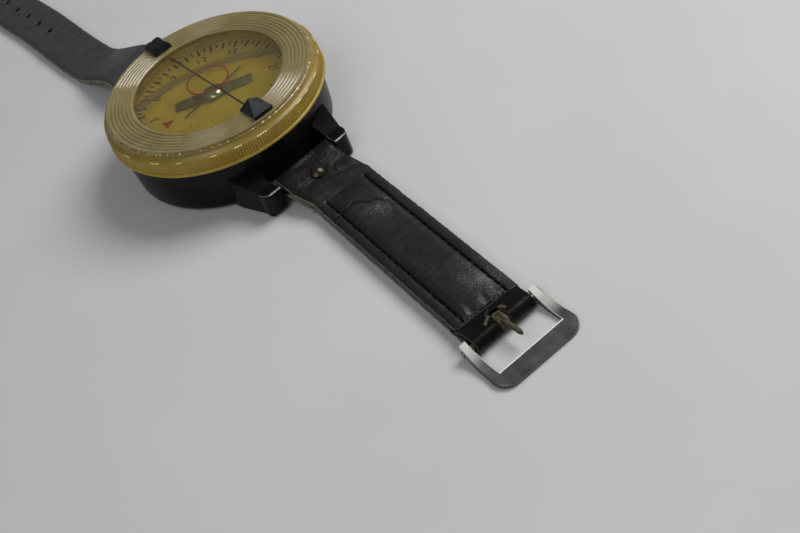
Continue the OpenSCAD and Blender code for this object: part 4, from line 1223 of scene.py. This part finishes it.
def make_buckle():
    """Flat frame whose legs sweep up to the bar, with painted highlights along its inner edges."""
    leg_in, leg_out, front, window, corner, wide, tip = 9.3, 11.2, 13.8, 9.0, 4.0, 11.9, -1.4
    low, high, knuckle, flat, rise, sweep = -2.2, -0.9, 1.3, 0.85, 5.0, 7.5
    plan = [(tip, -leg_in), (window, -leg_in), (window, leg_in), (tip, leg_in), (tip, leg_out)]
    plan += list(reversed(arc(front - corner, wide - corner, corner, 0, 90, 12)))
    plan += list(reversed(arc(front - corner, corner - wide, corner, -90, 0, 12)))
    plan += [(tip, -leg_out)]
    bm = crossed(slab(plan, low, high), [window + 0.45, window] + [sweep - 0.4 * i for i in range(22)])
    crossed(bm, (leg_in, -leg_in), Vector((0, 1, 0)))
    for v in bm.verts:
        if v.co.z > (low + high) / 2:
            v.co.z = high + 2.65 * (max(0.0, sweep - v.co.x) / (sweep - tip)) ** 1.8
        else:
            v.co.z = mix(-knuckle, low, min(1.0, max(0.0, (v.co.x - flat) / (rise - knuckle - flat))))
    # Painted highlight on the chamfers round the window
    for face in soften(bm, 0.13, 1, 35):
        at = face.calc_center_median()
        if at.z > low + 0.6 and abs(at.y) < leg_in + 0.16 and at.x < window + 0.16:
            face.material_index = 1
    bm.normal_update()
    # Painted highlight on a strip of the front bar's top along the window
    for face in bm.faces:
        at = face.calc_center_median()
        if window < at.x < window + 0.45 and abs(at.y) < leg_in and face.normal.z > 0.5:
            face.material_index = 1
    piece("buckle_plate", moved(bm, AT_BUCKLE), [buckle_nickel, buckle_edge_glint], "buckle",
          ["buckle_frame"], 30)


def crust(run, size, seed):
    """Lumps of corrosion along a run of points."""
    lumps = []
    for i, spot in enumerate(run):
        bm = bmesh.new()
        bmesh.ops.create_icosphere(bm, subdivisions=2, radius=size)
        for v in bm.verts:
            v.co *= 1 + 0.45 * noise.noise(v.co * 2.1 + Vector((i, seed, 0)))
        lumps.append(moved(bm, Matrix.Translation(spot)))
    return join(lumps)


def spaced(points, count):
    """Points spread evenly along a run of points in space."""
    spread = []
    for i in range(count):
        t = i / (count - 1) * (len(points) - 1)
        k = min(int(t), len(points) - 2)
        spread.append(Vector(points[k]).lerp(Vector(points[k + 1]), t - k))
    return spread


def make_prong():
    """Rough rod with a curl round the bar and crust, and scraps of crust on the leather."""
    tip = 7.6
    plan = [(-0.2, -0.8), (2.2, -0.58), (6.7, -0.5), (7.4, -0.32), (tip, 0), (7.4, 0.32), (6.7, 0.5), (2.2, 0.58),
            (-0.2, 0.8)]
    rod = slab(plan, 0.0, 1.0)
    for v in rod.verts:
        v.co.z += mix(1.0, 0.35, ease(v.co.x / tip))
    soften(rod, 0.34, 4, 20)
    long_edges = [e for e in rod.edges if e.calc_length() > 0.8]
    bmesh.ops.subdivide_edges(rod, edges=long_edges, cuts=6, use_grid_fill=True)
    for v in rod.verts:
        v.co += Vector((0, 0.6, 1)) * 0.09 * noise.noise(v.co * 1.7)
    curl = [(1.1, -1.3), (1.8, -1.3), (2.0, -1.1), (2.0, 1.1), (1.8, 1.3), (1.1, 1.3)]
    ring = moved(turned(curl, 40), ALONG_BAR)
    ridge = [(-1.2, 0.7, 1.75), (0.0, 0.5, 2.05), (1.6, 0.35, 1.75)]
    collar = [(-1.3, 1.0, 1.75), (-1.5, 0.3, 1.75), (-1.4, -0.6, 1.75), (-1.0, -1.0, 1.95)]
    lumps = join([crust(spaced(ridge, 9), 0.42, 3.0), crust(spaced(collar, 11), 0.4, 5.0)])
    tilt = Matrix.Rotation(math.radians(-8), 4, "Y")
    piece("buckle_tongue", moved(join([rod, ring, lumps]), AT_BUCKLE @ tilt), [prong_brass], "prong",
          ["buckle_prong"], 60)
    right_scrap = [(-1.3, 2.4, 1.95), (-1.7, 2.1, 2.0), (-2.1, 1.8, 2.0)]
    left_scrap = [(-2.0, -1.75, 2.0), (-1.5, -2.5, 2.0), (-0.9, -3.6, 1.95)]
    scraps = [crust(spaced(right_scrap, 6), 0.48, 11.0), crust(spaced(left_scrap, 11), 0.45, 17.0)]
    piece("prong_scraps", moved(join(scraps), AT_BUCKLE), [prong_brass], "short_strap", (), 60)


# Camera and light

CAMERA_AT = Vector((271.284, -106.754, 207.808)) * MM
CAMERA_AIM = Vector((76.974, -7.613, 0.0)) * MM
CAMERA_ROLL = math.radians(-22.383)
CAMERA_LENS = 57.83
SENSOR_WIDTH = 36.0


def add_camera():
    """A camera where the photo was taken from."""
    data = bpy.data.cameras.new("photo_camera")
    data.lens = CAMERA_LENS
    data.sensor_width = SENSOR_WIDTH
    data.clip_start = 0.01
    camera = bpy.data.objects.new("photo_camera", data)
    bpy.context.scene.collection.objects.link(camera)
    look = (CAMERA_AIM - CAMERA_AT).to_track_quat("-Z", "Y").to_matrix()
    turn = Matrix.Rotation(CAMERA_ROLL, 3, "Z")
    camera.matrix_world = Matrix.Translation(CAMERA_AT) @ (look @ turn).to_4x4()
    bpy.context.scene.camera = camera


def add_floor():
    """A plain pale table top, a hair under the part."""
    half, drop = 2.0, 0.00002
    bm = bmesh.new()
    bmesh.ops.create_grid(bm, x_segments=1, y_segments=1, size=half)
    bmesh.ops.translate(bm, vec=(0, 0, -drop), verts=bm.verts)
    mesh = bpy.data.meshes.new("table_top")
    bm.to_mesh(mesh)
    bm.free()
    floor = bpy.data.objects.new("table_top", mesh)
    bpy.context.scene.collection.objects.link(floor)
    mat = new_finish("pale_table", {"Roughness": 0.6, "Specular IOR Level": 0.2})
    cloud = mottle(mat, 60.0)
    use(mat, "Base Color", tint(mat, cloud, [(0.3, (0.52, 0.52, 0.525)), (0.7, (0.545, 0.545, 0.55))]))
    mesh.materials.append(mat)


def add_lamp(name, at, aim, size, power, colour):
    """A round soft lamp, placed in metres."""
    data = bpy.data.lights.new(name, "AREA")
    data.shape = "DISK"
    data.size = size
    data.energy = power
    data.color = colour
    lamp = bpy.data.objects.new(name, data)
    bpy.context.scene.collection.objects.link(lamp)
    lamp.location = at
    lamp.rotation_euler = (Vector(aim) - Vector(at)).to_track_quat("-Z", "Y").to_euler()


def add_light():
    """A dim room, a big soft light behind on the right and a weaker fill."""
    world = bpy.data.worlds.new("studio")
    world.use_nodes = True
    world.node_tree.nodes["Background"].inputs["Color"].default_value = (0.93, 0.96, 1.0, 1)
    world.node_tree.nodes["Background"].inputs["Strength"].default_value = 0.20
    bpy.context.scene.world = world
    add_lamp("window_light", (0.10, 0.42, 0.50), (0.02, 0.02, 0.0), 0.42, 3.6, (1.0, 0.99, 0.97))
    add_lamp("room_fill", (0.26, -0.40, 0.55), (0.03, 0.0, 0.0), 0.5, 1.25, (0.97, 0.98, 1.0))


bpy.context.scene.view_settings.view_transform = "Standard"
add_camera()
make_case()
make_capsule()
make_dial_print()
make_needle()
make_bezel()
make_sights()
make_straps()
make_wrap()
make_buckle()
make_prong()
for node_name in ("front_lug_bar", "rear_lug_bar", "buckle_bar", "bezel_spring"):
    dress(node_name, bar_steel)
dress("pivot_post", post_brass)
dress("pivot_jewel", jewel_red)
add_floor()
add_light()
